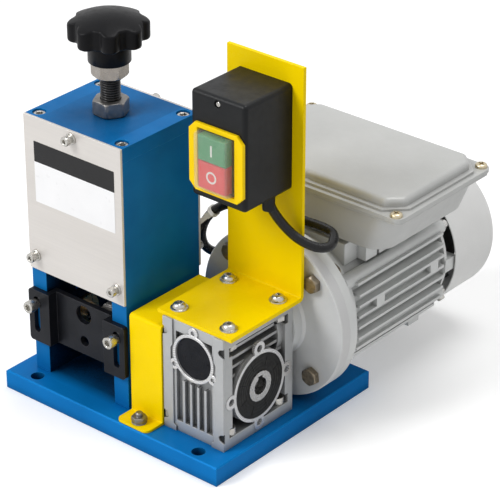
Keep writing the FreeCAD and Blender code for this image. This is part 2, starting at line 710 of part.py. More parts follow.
roller = new_body("feed_roller", tower_x, tower_y, shaft_z)
pad(roller, "YZ", -roller_width / 2, roller_width / 2, disc(0, 0, roller_radius * 2))
pocket(roller, "YZ", -roller_width / 2, roller_width / 2, disc(0, 0, shaft_diameter))
pocket(roller, "YZ", -roller_width / 2, roller_width / 2,
       box(0, (key_top + running) / 2, key_width + 2 * running, key_top + running))


# Worm gearbox: a cast housing with screw feet below and a matching face above. The wheel's
# chamber crosses it from left to right, and the worm's bore from front to back above it.

box_width = size("box_width", 60, "gearbox, left to right")
box_depth = size("box_depth", 80, "gearbox, front to back")
box_height = size("box_height", 97, "gearbox height")
foot_thickness = size("foot_thickness", 9, "gearbox feet and top face")
column_width = size("column_width", 12, "gearbox corner columns, sideways")
column_depth = size("column_depth", 9, "gearbox corner columns, front to back")
wall_thickness = size("wall_thickness", 4, "gearbox walls between the columns")
barrel_diameter = size("barrel_diameter", 59.5, "round housing of the worm wheel")
barrel_right = size("barrel_right", 28, "that housing, right of the centre")
barrel_left = size("barrel_left", 30.5, "that housing, left of the centre")
worm_tube = size("worm_tube", 40, "round housing of the worm")
input_boss = size("input_boss", 54, "round boss behind the worm")
chamber = size("chamber", 52, "worm wheel's chamber")
spigot = size("spigot", 56, "output cover's spigot")
wheel_half = size("wheel_half", 12, "half width of the chamber")
wheel_bearing = size("wheel_bearing", 47, "outside of the wheel's bearings")
hollow_diameter = size("hollow_diameter", 25, "outside of the hollow shaft")
seal_diameter = size("seal_diameter", 54, "outside of the shaft seals")
seal_thickness = size("seal_thickness", 4, "thickness of the shaft seals")
ear_circle = size("ear_circle", 32.5, "output ears from the wheel's axis")
ear_diameter = size("ear_diameter", 12, "width of the ears")
ear_hole = size("ear_hole", 6, "holes in the output cover's ears")
ear_tapping = size("ear_tapping", 5, "tapped holes in the ears on the left")
ear_thickness = size("ear_thickness", 5, "thickness of the ears")
worm_bore = size("worm_bore", 26, "worm's bore")
front_bearing = size("front_bearing", 35, "outside of the worm's front bearing")
rear_bearing = size("rear_bearing", 37, "outside of the worm's rear bearing")
worm_half = size("worm_half", 26, "worm's bearings from the wheel's axis")
fin_thickness = size("fin_thickness", 2.2, "cooling fins of the gearbox")
fin_pitch = size("fin_pitch", 7.2, "spacing of the front fins")
side_fin_pitch = size("side_fin_pitch", 8, "spacing of the side fins")
pocket_height = size("pocket_height", 8, "room for screw heads above the feet")
input_screw = size("input_screw", 16.3, "input flange's screws from the worm, across and up")
m5 = size("m5", 5, "gearbox screws")
m5_head = size("m5_head", 8.5, "their heads")

box_half = box_width / 2
depth_half = box_depth / 2
wheel_z = output_height
worm_z = output_height + gear_centres
top_face = box_height - foot_thickness
column_x = box_half - column_width / 2
column_y = depth_half - column_depth / 2
wall_y = depth_half - foot_thickness + wall_thickness * 0.75


def around(x, y, circle, angles):
    """Places round a circle about x, y."""
    return [(x + as_size(circle) * math.cos(math.radians(angle)),
             y + as_size(circle) * math.sin(math.radians(angle))) for angle in angles]


ear_places = around(0, wheel_z, ear_circle, (0, 90, 180, 270))
input_places = [(x, worm_z + z) for x, z in mirrored(input_screw, input_screw)]

housing = new_body("gearbox_housing", gear_x, gear_y, base_thickness)
pad(housing, "XY", 0, foot_thickness, box(0, 0, box_width, box_depth))
pad(housing, "XY", top_face, box_height, box(0, 0, box_width, box_depth))
pad(housing, "XY", 0, box_height,
    *[box(x, y, column_width, column_depth) for x, y in mirrored(column_x, column_y)])
pad(housing, "XY", 0, box_height,
    *[box(0, side * wall_y, box_width - column_width, wall_thickness) for side in (-1, 1)])
pad(housing, "YZ", -barrel_left, barrel_right, disc(0, wheel_z, barrel_diameter))
pad(housing, "YZ", -barrel_left, -barrel_left + ear_thickness,
    *[disc(y, z, ear_diameter) for y, z in ear_places])
pad(housing, "XZ", -depth_half, depth_half, disc(0, worm_z, worm_tube))
pad(housing, "XZ", worm_half, depth_half, disc(0, worm_z, input_boss))
pad(housing, "XZ", -depth_half, -depth_half + ear_thickness,
    *[disc(x, z, column_depth) for x, z in around(0, worm_z, worm_tube / 2, (90, 210, 330))])
fin_places = [(index - 1.5) * fin_pitch for index in range(4)]
fin_top = worm_z - worm_tube / 2 - 4
pad(housing, "XZ", -depth_half, -wall_y,
    *[box(x, (foot_thickness + fin_top) / 2, fin_thickness, fin_top - foot_thickness)
      for x in fin_places])
side_fins = [worm_z + (index - 1.5) * side_fin_pitch for index in range(4)]
pad(housing, "XZ", -wall_y, wall_y,
    *[box(0, z, box_width - foot_thickness, fin_thickness) for z in side_fins])
for plate, room in ((0, foot_thickness), (top_face, top_face - pocket_height)):
    pocket(housing, "XY", room, room + pocket_height,
           *[box(x, y, column_width, column_width)
             for x, y in mirrored(foot_screw_x, foot_screw_y)])
    pocket(housing, "XY", plate, plate + foot_thickness,
           *[disc(x, y, m6 + 0.5) for x, y in mirrored(foot_screw_x, foot_screw_y)])
pocket(housing, "YZ", -wheel_half, box_half + 1, disc(0, wheel_z, chamber))
pocket(housing, "YZ", wheel_half, box_half + 1, disc(0, wheel_z, spigot))
pocket(housing, "YZ", -box_half - 1, -wheel_half, disc(0, wheel_z, wheel_bearing))
pocket(housing, "YZ", -box_half - 1, -barrel_left + seal_thickness, disc(0, wheel_z, seal_diameter))
pocket(housing, "YZ", -barrel_left, -barrel_left + ear_thickness,
       *[disc(y, z, ear_tapping) for y, z in ear_places])
pocket(housing, "YZ", barrel_right, box_half + 1,
       *[disc(y, z, ear_diameter + 4 * running) for y, z in ear_places])
pocket(housing, "XZ", -worm_half, worm_half, disc(0, worm_z, worm_bore))
pocket(housing, "XZ", -depth_half, -worm_half, disc(0, worm_z, front_bearing))
pocket(housing, "XZ", worm_half, depth_half, disc(0, worm_z, rear_bearing))
pocket(housing, "XZ", depth_half - 11, depth_half, *[disc(x, z, m5) for x, z in input_places])

cover_face_x = size("cover_face_x", 2.5, "thickness of the output cover's flange")
output_cover = new_body("output_cover", gear_x, gear_y, shaft_z)
cover_right = barrel_right + cover_face_x
cover_ears = around(0, 0, ear_circle, (0, 90, 180, 270))
pad(output_cover, "YZ", wheel_half, cover_right, disc(0, 0, spigot))
pad(output_cover, "YZ", barrel_right, cover_right, disc(0, 0, barrel_diameter))
pad(output_cover, "YZ", barrel_right, cover_right,
    *[disc(y, z, ear_diameter) for y, z in cover_ears])
pocket(output_cover, "YZ", wheel_half, cover_right, disc(0, 0, wheel_bearing))
pocket(output_cover, "YZ", cover_right - seal_thickness, cover_right, disc(0, 0, seal_diameter))
pocket(output_cover, "YZ", barrel_right, cover_right,
       *[disc(y, z, ear_hole) for y, z in cover_ears])

seals = new_body("output_seals", gear_x, gear_y, shaft_z)
for low in (-barrel_left, cover_right - seal_thickness):
    rings(seals, "YZ", low, low + seal_thickness, [(0, 0)], seal_diameter,
          hollow_diameter + 2 * running)

hollow_half = size("hollow_half", 31.5, "half length of the hollow shaft")
wheel_seat = size("wheel_seat", 30, "worm wheel's seat on the hollow shaft")
wheel_width = size("wheel_width", 14, "worm wheel's width")
wheel_diameter = size("wheel_diameter", 41.2, "worm wheel's diameter")
hollow = new_body("hollow_output_shaft", gear_x, gear_y, shaft_z)
pad(hollow, "YZ", -hollow_half, hollow_half, disc(0, 0, hollow_diameter))
pad(hollow, "YZ", -wheel_half + touch_gap, wheel_half - touch_gap, disc(0, 0, wheel_seat))
pocket(hollow, "YZ", -hollow_half, hollow_half, disc(0, 0, shaft_diameter))
pocket(hollow, "YZ", -hollow_half, hollow_half,
       box(0, (key_top + running) / 2, key_width + 2 * running, key_top + running))

wheel = new_body("worm_wheel", gear_x, gear_y, shaft_z)
rings(wheel, "YZ", -wheel_width / 2, wheel_width / 2, [(0, 0)], wheel_diameter, wheel_seat)

bearing_width = size("bearing_width", 12, "wheel bearings' width")
front_bearing_width = size("front_bearing_width", 10, "worm's front bearing's width")
rear_bearing_width = size("rear_bearing_width", 9, "worm's rear bearing's width")
front_journal = size("front_journal", 15, "worm's front journal")
rear_journal = size("rear_journal", 20, "worm's rear journal")
bearings = new_body("gearbox_bearings", gear_x, gear_y, base_thickness)
for low in (-wheel_half - bearing_width, wheel_half):
    rings(bearings, "YZ", low, low + bearing_width, [(0, wheel_z)], wheel_bearing,
          hollow_diameter + 2 * running)
rings(bearings, "XZ", -worm_half - front_bearing_width, -worm_half, [(0, worm_z)],
      front_bearing, front_journal + 2 * running)
rings(bearings, "XZ", worm_half, worm_half + rear_bearing_width, [(0, worm_z)],
      rear_bearing, rear_journal + 2 * running)

flange_front = size("flange_front", 51, "input flange's front from the gearbox centre")
flange_back = size("flange_back", 61, "where the two flanges meet")
flange_diameter = size("flange_diameter", 139, "both motor flanges")
worm_diameter = size("worm_diameter", 18, "worm over its thread")
worm_length = size("worm_length", 36, "length of the worm's thread")
input_bore = size("input_bore", 11, "motor shaft's end")
input_depth = size("input_depth", 24, "depth of the worm's bore")
worm = new_body("worm_shaft", gear_x, gear_y, motor_z)
worm_end = flange_back - 1.5
turned(worm, "Y", (0, -worm_half - front_bearing_width - 0.5),
       (front_journal / 2, -worm_half - front_bearing_width - 0.5),
       (front_journal / 2, -worm_length / 2), (worm_diameter / 2, -worm_length / 2),
       (worm_diameter / 2, worm_length / 2), (rear_journal / 2, worm_length / 2 + 1),
       (rear_journal / 2, worm_end), (0, worm_end))
pocket(worm, "XZ", worm_end - input_depth, worm_end, disc(0, 0, input_bore))

end_cap = new_body("worm_end_cap", gear_x, gear_y, motor_z)
pad(end_cap, "XZ", -depth_half, -depth_half + 3, disc(0, 0, front_bearing))
dress(end_cap, "Fillet", 0.8, lambda edge: near(edge.BoundBox.YMin, -depth_half)
      and near(edge.BoundBox.YMax, -depth_half))


# Motor flange: one disc on the gearbox and one on the motor, with four hexagon bolts.

neck_diameter = size("neck_diameter", 64, "neck between the gearbox and its flange")
register = size("register", 95, "raised centre that the flanges share")
register_depth = size("register_depth", 3.5, "depth of that register")
flange_bolt = size("flange_bolt", 40.66, "flange bolts from the motor's axis, across and up")
flange_hole = size("flange_hole", 9, "flange bolt holes")
bolt_flats = size("bolt_flats", 13, "flange bolts, across flats")
shield_flange = size("shield_flange", 9.5, "thickness of the motor's flange")
end_play = size("end_play", 0.2, "gap between the worm's rear bearing and the flange")

flange = new_body("input_flange", gear_x, gear_y, motor_z)
flange_nose = worm_half + rear_bearing_width + end_play
turned(flange, "Y", (rear_journal / 2 + 1, flange_nose), (rear_bearing / 2, flange_nose),
       (rear_bearing / 2, depth_half),
       (neck_diameter / 2, depth_half), (neck_diameter / 2, flange_front - 2),
       (neck_diameter / 2 + 2, flange_front), (flange_diameter / 2 - 1, flange_front),
       (flange_diameter / 2, flange_front + 1), (flange_diameter / 2, flange_back),
       (register / 2, flange_back), (register / 2, flange_back - register_depth),
       (rear_journal / 2 + 1, flange_back - register_depth))
flange_places = mirrored(flange_bolt, flange_bolt)
screw_places = mirrored(input_screw, input_screw)
pocket(flange, "XZ", flange_front, flange_back, *[disc(x, z, flange_hole) for x, z in flange_places])
pocket(flange, "XZ", depth_half, flange_back, *[disc(x, z, m5 + 0.5) for x, z in screw_places])
pocket(flange, "XZ", depth_half + 6, flange_back, *[disc(x, z, m5_head + 1) for x, z in screw_places])

neck_flat = (depth_half + flange_front - 1) / 2
pocket(flange, "XY", input_boss / 2, neck_diameter / 2 + 1,
       box(0, neck_flat, neck_diameter, flange_front - 1 - depth_half))

input_screws = new_body("input_flange_screws", gear_x, gear_y, motor_z)
cap_screws(input_screws, "XZ", depth_half + 6, 1, screw_places, m5, m5_head, 16)

flange_bolts = new_body("flange_bolts", gear_x, gear_y, motor_z)
nut_seat = flange_back + shield_flange
hex_screws(flange_bolts, "XZ", flange_front, -1, flange_places, m8, bolt_flats,
           nut_seat + m8 - flange_front)
pad(flange_bolts, "XZ", nut_seat, nut_seat + m8 * 0.8,
    *[hexagon(x, z, bolt_flats) for x, z in flange_places])


# Motor: its origin is where the two flanges meet. The front shield, the finned housing and the
# rear shield are held together by four long bolts. The fan turns inside a thin cowl.

shell_diameter = size("shell_diameter", 112, "motor's end shields")
shield_length = size("shield_length", 25, "front shield behind the flange's face")
tube_outer = size("tube_outer", 104, "motor tube outside")
tube_inner = size("tube_inner", 94, "motor tube inside")
housing_length = size("housing_length", 114, "motor housing length")
rear_shield_length = size("rear_shield_length", 15, "rear shield")
tie_x = size("tie_x", 46.5, "long bolts from the motor's axis, across")
tie_z = size("tie_z", 30, "long bolts from the motor's axis, up")
tie_lug = size("tie_lug", 12, "lugs for the long bolts")
tie_lug_rear = size("tie_lug_rear", 4.5, "thickness of the rear lugs")
motor_bearing = size("motor_bearing", 35, "outside of the motor's bearings")
motor_bearing_width = size("motor_bearing_width", 11, "motor bearings' width")
motor_journal = size("motor_journal", 15, "motor shaft in its bearings")
motor_fins = 8
motor_fin_pitch = size("motor_fin_pitch", 9.5, "spacing of the motor's fins")
motor_fin = size("motor_fin", 2.4, "motor fin thickness")
motor_fin_reach = size("motor_fin_reach", 57, "motor fins' tips from the axis, sideways")
motor_fin_circle = size("motor_fin_circle", 62, "circle that the fins stay inside")
lowest_fin = size("lowest_fin", 38, "lowest motor fin below the axis")
fin_pad_front = size("fin_pad_front", 49, "front pads between the fins, behind the flange's face")
fin_pad_rear = size("fin_pad_rear", 20, "rear pads between the fins, ahead of the housing's end")
fin_pad_length = size("fin_pad_length", 10, "pads between the fins, front to back")
fin_pad_reach = size("fin_pad_reach", 8, "pads between the fins, sideways")
leg_width = size("leg_width", 14, "legs under the terminal box, front to back")
leg_reach = size("leg_reach", 93, "legs under the terminal box, outside to outside")
box_seat = size("box_seat", 60, "terminal box's seat above the motor's axis")
motor_foot_x = size("motor_foot_x", 29, "motor foot pads, sideways")
motor_foot_z = size("motor_foot_z", 56, "motor foot pads' faces below the axis")

motor_y = gear_y + flange_back
tie_places = mirrored(tie_x, tie_z)
housing_start = shield_length
housing_end = shield_length + housing_length
shield_end = housing_end + rear_shield_length
bearing_seat = 9
register_gap = running * 2

front_shield = new_body("motor_front_shield", gear_x, motor_y, motor_z)
hub = motor_bearing / 2 + 3.5
turned(front_shield, "Y", (rear_journal / 2 + 2, 0.5 - register_depth),
       (register / 2 - register_gap, 0.5 - register_depth), (register / 2 - register_gap, 0),
       (flange_diameter / 2, 0), (flange_diameter / 2, shield_flange - 1),
       (flange_diameter / 2 - 1, shield_flange), (49, shield_flange), (49, shield_flange + 7),
       (shell_diameter / 2, shield_flange + 11), (shell_diameter / 2, shield_length),
       (tube_inner / 2 - running, shield_length), (tube_inner / 2 - running, shield_length + 4),
       (tube_inner / 2 - 4, shield_length + 4), (tube_inner / 2 - 4, shield_flange + 4.5),
       (hub, shield_flange + 4.5), (hub, bearing_seat + motor_bearing_width),
       (motor_bearing / 2, bearing_seat + motor_bearing_width), (motor_bearing / 2, bearing_seat),
       (motor_journal / 2 + 0.5, bearing_seat), (motor_journal / 2 + 0.5, 0.5),
       (rear_journal / 2 + 2, 0.5))
pad(front_shield, "XZ", shield_flange + 7.5, shield_length,
    *[disc(x, z, tie_lug) for x, z in tie_places])
pocket(front_shield, "XZ", 0, shield_flange, *[disc(x, z, flange_hole) for x, z in flange_places])
pocket(front_shield, "XZ", shield_flange + 7.5, shield_length,
       *[disc(x, z, m5) for x, z in tie_places])

motor_housing = new_body("motor_housing", gear_x, motor_y, motor_z)
pad(motor_housing, "XZ", housing_start, housing_end, disc(0, 0, tube_outer))
fins = []
for index in range(motor_fins):
    height = index * motor_fin_pitch.value - lowest_fin.value
    reach = min(motor_fin_reach.value, math.sqrt(motor_fin_circle.value ** 2 - height ** 2))
    fins.append(box(0, motor_fin_pitch * index - lowest_fin, reach * 2, motor_fin))
pad(motor_housing, "XZ", housing_start + 2, housing_end - 2, *fins)
pad(motor_housing, "XZ", housing_start, housing_end, *[disc(x, z, tie_lug) for x, z in tie_places])
pad_z = motor_fin_pitch * 4.5 - lowest_fin
for low in (fin_pad_front, housing_length + housing_start - fin_pad_rear):
    pad(motor_housing, "XZ", low, low + fin_pad_length,
        *[box(side * (tube_outer / 2 + 1), pad_z, fin_pad_reach, motor_fin_pitch) for side in (-1, 1)])
seat_low = tube_outer / 2 - 14
pad(motor_housing, "XZ", housing_start + 6, housing_end - 6,
    box(0, (box_seat - 4 + seat_low) / 2, 76, box_seat - 4 - seat_low))
for low in (housing_start + 22, housing_start + 39, housing_end - 40):
    pad(motor_housing, "XZ", low, low + leg_width,
        box(0, (box_seat + seat_low) / 2, leg_reach, box_seat - seat_low))
for low in (housing_start + 5, housing_end - 19):
    pad(motor_housing, "XZ", low, low + 14,
        *[box(side * motor_foot_x, -motor_foot_z + 8, 14, 16) for side in (-1, 1)])
pocket(motor_housing, "XZ", housing_start, housing_end, disc(0, 0, tube_inner))
pocket(motor_housing, "XZ", housing_start, housing_end,
       *[disc(x, z, m5 + 0.4) for x, z in tie_places])

rear_shield = new_body("motor_rear_shield", gear_x, motor_y, motor_z)
rear_face = housing_end
turned(rear_shield, "Y", (motor_journal / 2 + 0.5, shield_end), (hub, shield_end),
       (hub + 8, shield_end - 4), (shell_diameter / 2 - 6, rear_face + 4),
       (shell_diameter / 2, rear_face + 3), (shell_diameter / 2, rear_face),
       (tube_inner / 2 - running, rear_face), (tube_inner / 2 - running, rear_face - 4),
       (tube_inner / 2 - 4, rear_face - 4), (tube_inner / 2 - 4, rear_face + 1),
       (hub, shield_end - 7), (hub, rear_face + 2), (motor_bearing / 2, rear_face + 2),
       (motor_bearing / 2, rear_face + 2 + motor_bearing_width),
       (motor_journal / 2 + 0.5, rear_face + 2 + motor_bearing_width))
pad(rear_shield, "XZ", rear_face, rear_face + tie_lug_rear,
    *[disc(x, z, tie_lug) for x, z in tie_places])
pocket(rear_shield, "XZ", rear_face, rear_face + tie_lug_rear,
       *[disc(x, z, m5 + 0.4) for x, z in tie_places])

tie_bolts = new_body("tie_bolts", gear_x, motor_y, motor_z)
cap_screws(tie_bolts, "XZ", rear_face + tie_lug_rear, 1, tie_places, m5, m5_head,
           rear_face + tie_lug_rear - shield_flange - 9)

stator_start = size("stator_start", 45, "stator behind the flange's face")
stator_length = size("stator_length", 65, "stator stack")
stator_bore = size("stator_bore", 50, "stator's bore")
winding_reach = size("winding_reach", 12, "windings beyond the stack")
fan_start = size("fan_start", 162, "fan behind the flange's face")
fan_length = size("fan_length", 15, "fan's blades")
fan_diameter = size("fan_diameter", 96, "fan")
fan_blades = 8
cowl_diameter = size("cowl_diameter", 118.5, "fan cowl")
cowl_start = size("cowl_start", 150, "fan cowl's front behind the flange's face")
cowl_end = size("cowl_end", 207, "fan cowl's back behind the flange's face")
cowl_wall = size("cowl_wall", 1, "fan cowl's sheet")
cowl_rounding = size("cowl_rounding", 8, "fan cowl's rounded edge")
cowl_screw_y = size("cowl_screw_y", 155, "fan cowl's screws behind the flange's face")
cowl_lug = size("cowl_lug", 10, "lugs for the fan cowl's screws")
side_rib = size("side_rib", 11, "ribs at the sides of the rear shield")
grille_slots = 12

stator_end = stator_start + stator_length
stator = new_body("stator", gear_x, motor_y, motor_z)
rings(stator, "XZ", stator_start, stator_end, [(0, 0)], tube_inner, stator_bore)
for low, high in ((stator_start - winding_reach, stator_start), (stator_end, stator_end + winding_reach)):
    rings(stator, "XZ", low, high, [(0, 0)], tube_inner - 8, stator_bore + 8)
dress(stator, "Fillet", 4, lambda edge: near(edge.BoundBox.YMax, stator_start - winding_reach)
      or near(edge.BoundBox.YMin, stator_end + winding_reach))

rotor = new_body("rotor", gear_x, motor_y, motor_z)
rings(rotor, "XZ", stator_start, stator_end, [(0, 0)], stator_bore - 0.6, motor_journal + 1)
for low, high in ((stator_start - 6, stator_start), (stator_end, stator_end + 6)):
    rings(rotor, "XZ", low, high, [(0, 0)], stator_bore - 4, 30)

motor_shaft = new_body("motor_shaft", gear_x, motor_y, motor_z)
rear_seat = rear_face + 2
turned(motor_shaft, "Y", (0, -input_depth + 1), (input_bore / 2, -input_depth + 1),
       (input_bore / 2, 0), (motor_journal / 2, 0),
       (motor_journal / 2, bearing_seat + motor_bearing_width),
       (motor_journal / 2 + 0.5, bearing_seat + motor_bearing_width),
       (motor_journal / 2 + 0.5, rear_seat), (motor_journal / 2, rear_seat),
       (motor_journal / 2, shield_end), (6, shield_end), (6, fan_start + fan_length + 2),
       (0, fan_start + fan_length + 2))

motor_bearings = new_body("motor_bearings", gear_x, motor_y, motor_z)
for low in (as_size(bearing_seat), rear_seat):
    rings(motor_bearings, "XZ", low, low + motor_bearing_width, [(0, 0)], motor_bearing,
          motor_journal + 2 * running)

fan = new_body("fan", gear_x, motor_y, motor_z)
pad(fan, "XZ", fan_start, fan_start + 2, disc(0, 0, fan_diameter))
pad(fan, "XZ", fan_start, fan_start + fan_length, disc(0, 0, 26))
blade_of_fan = pad(fan, "XZ", fan_start, fan_start + fan_length,
                   box(fan_diameter / 4 + 5, 0, fan_diameter / 2 - 10, 2))
repeat_round(fan, "Y", fan_blades, blade_of_fan)
pocket(fan, "XZ", fan_start, fan_start + fan_length, disc(0, 0, 12))

cowl = new_body("fan_cover", gear_x, motor_y, motor_z)
pad(cowl, "XZ", cowl_start, cowl_end, disc(0, 0, cowl_diameter))
dress(cowl, "Fillet", cowl_rounding, lambda edge: near(edge.BoundBox.YMin, cowl_end))
cowl_inner = cowl_diameter / 2 - cowl_wall
inner_round = cowl_rounding - cowl_wall
inner_back = cowl_end - cowl_wall
arc_points = [(cowl_inner - inner_round + inner_round * math.cos(math.radians(angle)),
               inner_back - inner_round + inner_round * math.sin(math.radians(angle)))
              for angle in (0, 22.5, 45, 67.5, 90)]
turned_groove(cowl, "Y", (0, cowl_start), (cowl_inner, cowl_start), *arc_points, (0, inner_back))
grille = pocket(cowl, "XZ", inner_back - 1, cowl_end + 1, slot(0, 30, 6, 28))
repeat_round(cowl, "Y", grille_slots, grille)

cowl_screws = new_body("fan_cover_screws", gear_x, motor_y, motor_z)
cowl_reach = cowl_diameter / 2
cowl_angles = (45, 135, 225, 315)
for angle in cowl_angles:
    turned_outwards(cowl_screws, cowl_screw_y, angle, (0, cowl_reach - 7), (m4 / 2, cowl_reach - 7),
                    (m4 / 2, cowl_reach), (m4_head / 2, cowl_reach), (m4_head / 2, cowl_reach + 1.6),
                    (m4 / 2, cowl_reach + 2.6), (0, cowl_reach + 2.6))
    turned_outwards(cowl, cowl_screw_y, angle, (0, cowl_reach - 3), (m4 / 2 + running, cowl_reach - 3),
                    (m4 / 2 + running, cowl_reach + 1), (0, cowl_reach + 1), kind="Groove")
lug_reach = cowl_reach - cowl_wall - 6
pad(rear_shield, "XZ", rear_face, cowl_screw_y + 4.5,
    *[disc(x, z, cowl_lug) for x, z in around(0, 0, lug_reach, cowl_angles)])
pad(rear_shield, "XZ", rear_face, cowl_start + 3,
    *[box(side * (tube_outer / 2 - 0.5), -2, side_rib, side_rib) for side in (-1, 1)])
for angle in cowl_angles:
    turned_outwards(rear_shield, cowl_screw_y, angle, (0, cowl_reach - 10), (m4 / 2, cowl_reach - 10),
                    (m4 / 2, cowl_reach + 1), (0, cowl_reach + 1), kind="Groove")


# Terminal box: a tapered aluminium box on top of the motor, with a lid held by four screws at its
# corners. The run capacitor lies inside it.

box_width_top = size("box_width_top", 173, "terminal box at its rim, left to right")
box_width_low = size("box_width_low", 146, "terminal box at its foot, left to right")
box_depth_top = size("box_depth_top", 113, "terminal box, front to back")
box_rise = size("box_rise", 32.5, "terminal box's walls")
box_flange = size("box_flange", 2.5, "terminal box's rim")
box_corner = size("box_corner", 18, "terminal box's corners")
box_wall = size("box_wall", 3, "terminal box's walls, thickness")
box_setback = size("box_setback", 87.5, "terminal box's centre behind the flange's face")
lid_width = size("lid_width", 183, "lid, left to right")
lid_depth = size("lid_depth", 120, "lid, front to back")
lid_rim = size("lid_rim", 3, "lid's rim")
lid_height = size("lid_height", 12, "lid's height")
panel_width = size("panel_width", 166, "lid's raised panel, left to right")
panel_depth = size("panel_depth", 104, "lid's raised panel, front to back")
panel_cut = size("panel_cut", 11, "corners cut off the raised panel")
lid_screw_x = size("lid_screw_x", 84.5, "lid screws from its middle, sideways")
lid_screw_y = size("lid_screw_y", 54.5, "lid screws from its middle, front to back")
lid_corner = size("lid_corner", 7, "lid's corners")
capacitor_diameter = size("capacitor_diameter", 34, "run capacitor")
capacitor_length = size("capacitor_length", 62, "run capacitor's length")
lead_diameter = size("lead_diameter", 7.5, "lead from the switch to the motor")
gland_x = size("gland_x", 59.5, "terminal box's gland, left of the motor's axis")
gland_y = size("gland_y", 55, "terminal box's gland behind the flange's face")

rim_z = box_seat + box_rise
lid_places = mirrored(lid_screw_x, lid_screw_y)


def cut_box(width, depth, cut):
    """A rectangle about the centre with its corners cut off."""
    half_x, half_y = as_size(width) / 2, as_size(depth) / 2
    return outline((-half_x + cut, -half_y), (half_x - cut, -half_y), (half_x, -half_y + cut),
                   (half_x, half_y - cut), (half_x - cut, half_y), (-half_x + cut, half_y),
                   (-half_x, half_y - cut), (-half_x, -half_y + cut))


def upright_at(low, high, along_x, along_y):
    """A test for the upright or leaning edges at the corners of a box."""
    def wanted(edge):
        bounds = edge.BoundBox
        return (near(bounds.ZMin, low) and near(bounds.ZMax, high)
                and abs(bounds.Center.x) > as_size(along_x).value
                and abs(bounds.Center.y) > as_size(along_y).value)
    return wanted


box_low = box_width_low / 2
box_high = box_width_top / 2
box_half_depth = box_depth_top / 2
terminal = new_body("terminal_box", gear_x, motor_y + box_setback, motor_z)
pad(terminal, "XZ", -box_half_depth, box_half_depth, outline(
    (-box_low, box_seat), (box_low, box_seat), (box_high, rim_z), (-box_high, rim_z)))
dress(terminal, "Fillet", box_corner, upright_at(box_seat, rim_z, 60, 30))
pad(terminal, "XY", rim_z - box_flange, rim_z, box(0, 0, lid_width - 2, lid_depth - 2))
dress(terminal, "Fillet", lid_corner - 1, upright_at(rim_z - box_flange, rim_z, 80, 50))
corner_room = box_corner * 0.8
for off_side, off_end in ((box_wall, corner_room), (corner_room, box_wall)):
    pocket(terminal, "XZ", -box_half_depth + off_end, box_half_depth - off_end, outline(
        (-box_low + off_side, box_seat + box_wall), (box_low - off_side, box_seat + box_wall),
        (box_high - off_side - 2, rim_z), (-box_high + off_side + 2, rim_z)))
pocket(terminal, "XY", rim_z - box_flange, rim_z, *[disc(x, y, m4) for x, y in lid_places])
gland_spot = (-gland_x, gland_y - box_setback)
pocket(terminal, "XY", box_seat, box_seat + box_wall, disc(*gland_spot, 12))

lid = new_body("terminal_box_lid", gear_x, motor_y + box_setback, motor_z + rim_z)
pad(lid, "XY", 0, lid_rim, box(0, 0, lid_width, lid_depth))
dress(lid, "Fillet", lid_corner, upright_at(0, lid_rim, 60, 30))
pad(lid, "XY", 0, lid_rim + 2, cut_box(panel_width + 8, panel_depth + 8, panel_cut + 4))
pad(lid, "XY", 0, lid_height, cut_box(panel_width, panel_depth, panel_cut))
dress(lid, "Fillet", 6, upright_at(lid_rim + 2, lid_height, 60, 30))
dress(lid, "Fillet", 4, lambda edge: near(edge.BoundBox.ZMin, lid_height)
      and near(edge.BoundBox.ZMax, lid_height))
pocket(lid, "XY", 0, lid_height - box_wall, cut_box(panel_width - 8, panel_depth - 8, panel_cut + 3))
pocket(lid, "XY", 0, lid_rim + 2, *[disc(x, y, m4 + 0.5) for x, y in lid_places])

lid_screws = new_body("lid_screws", gear_x, motor_y + box_setback, motor_z + rim_z)
pad(lid_screws, "XY", lid_rim, lid_rim + 2.4, *[disc(x, y, m4_head + 1) for x, y in lid_places])
dress(lid_screws, "Fillet", 1.6, lambda edge: near(edge.BoundBox.ZMin, lid_rim + 2.4))
pad(lid_screws, "XY", -box_flange - 1, lid_rim, *[disc(x, y, m4) for x, y in lid_places])
for turn in ((m4_head * 0.6, 0.8), (0.8, m4_head * 0.6)):
    pocket(lid_screws, "XY", lid_rim + 1.2, lid_rim + 2.4, *[box(x, y, *turn) for x, y in lid_places])

capacitor = new_body("capacitor", gear_x, motor_y + box_setback, motor_z)
capacitor_z = box_seat + box_wall + capacitor_diameter / 2
pad(capacitor, "YZ", -20, capacitor_length - 20, disc(0, capacitor_z, capacitor_diameter))
for side in (-1, 1):
    pad(capacitor, "YZ", capacitor_length - 20, capacitor_length - 10, box(side * 6, capacitor_z, 6.3, 0.8))


# Switch: a yellow bracket stands on the gearbox and carries a black box. Two push buttons slide in
# a contact block behind a yellow frame, under a clear soft cover.

bracket_width = size("bracket_width", 73, "bracket, left to right")
bracket_sheet = size("bracket_sheet", 3, "bracket's sheet")
bracket_front = size("bracket_front", 39.6, "bracket's front edge, ahead of the gearbox centre")
bracket_back = size("bracket_back", 44.7, "bracket's back face, behind the gearbox centre")
bracket_height = size("bracket_height", 193, "bracket's height above the gearbox")
bracket_bend = size("bracket_bend", 1.5, "bracket's inside bend")
guard_left = size("guard_left", 3.5, "gap between the tower and the shaft guard")
guard_width = size("guard_width", 32, "shaft guard, left to right")
guard_sheet = size("guard_sheet", 2, "shaft guard's sheet")
guard_wall_y = size("guard_wall_y", 0.5, "guard's front face ahead of the tower's front")
guard_height = size("guard_height", 87, "shaft guard's height")
guard_tab = size("guard_tab", 20, "shaft guard's foot tab")
guard_reach = size("guard_reach", 80.5, "shaft guard's top, front to back")
dome_height = size("dome_height", 4.6, "bracket screws' domed heads")
stud_height = size("stud_height", 14, "guard stud above the base")

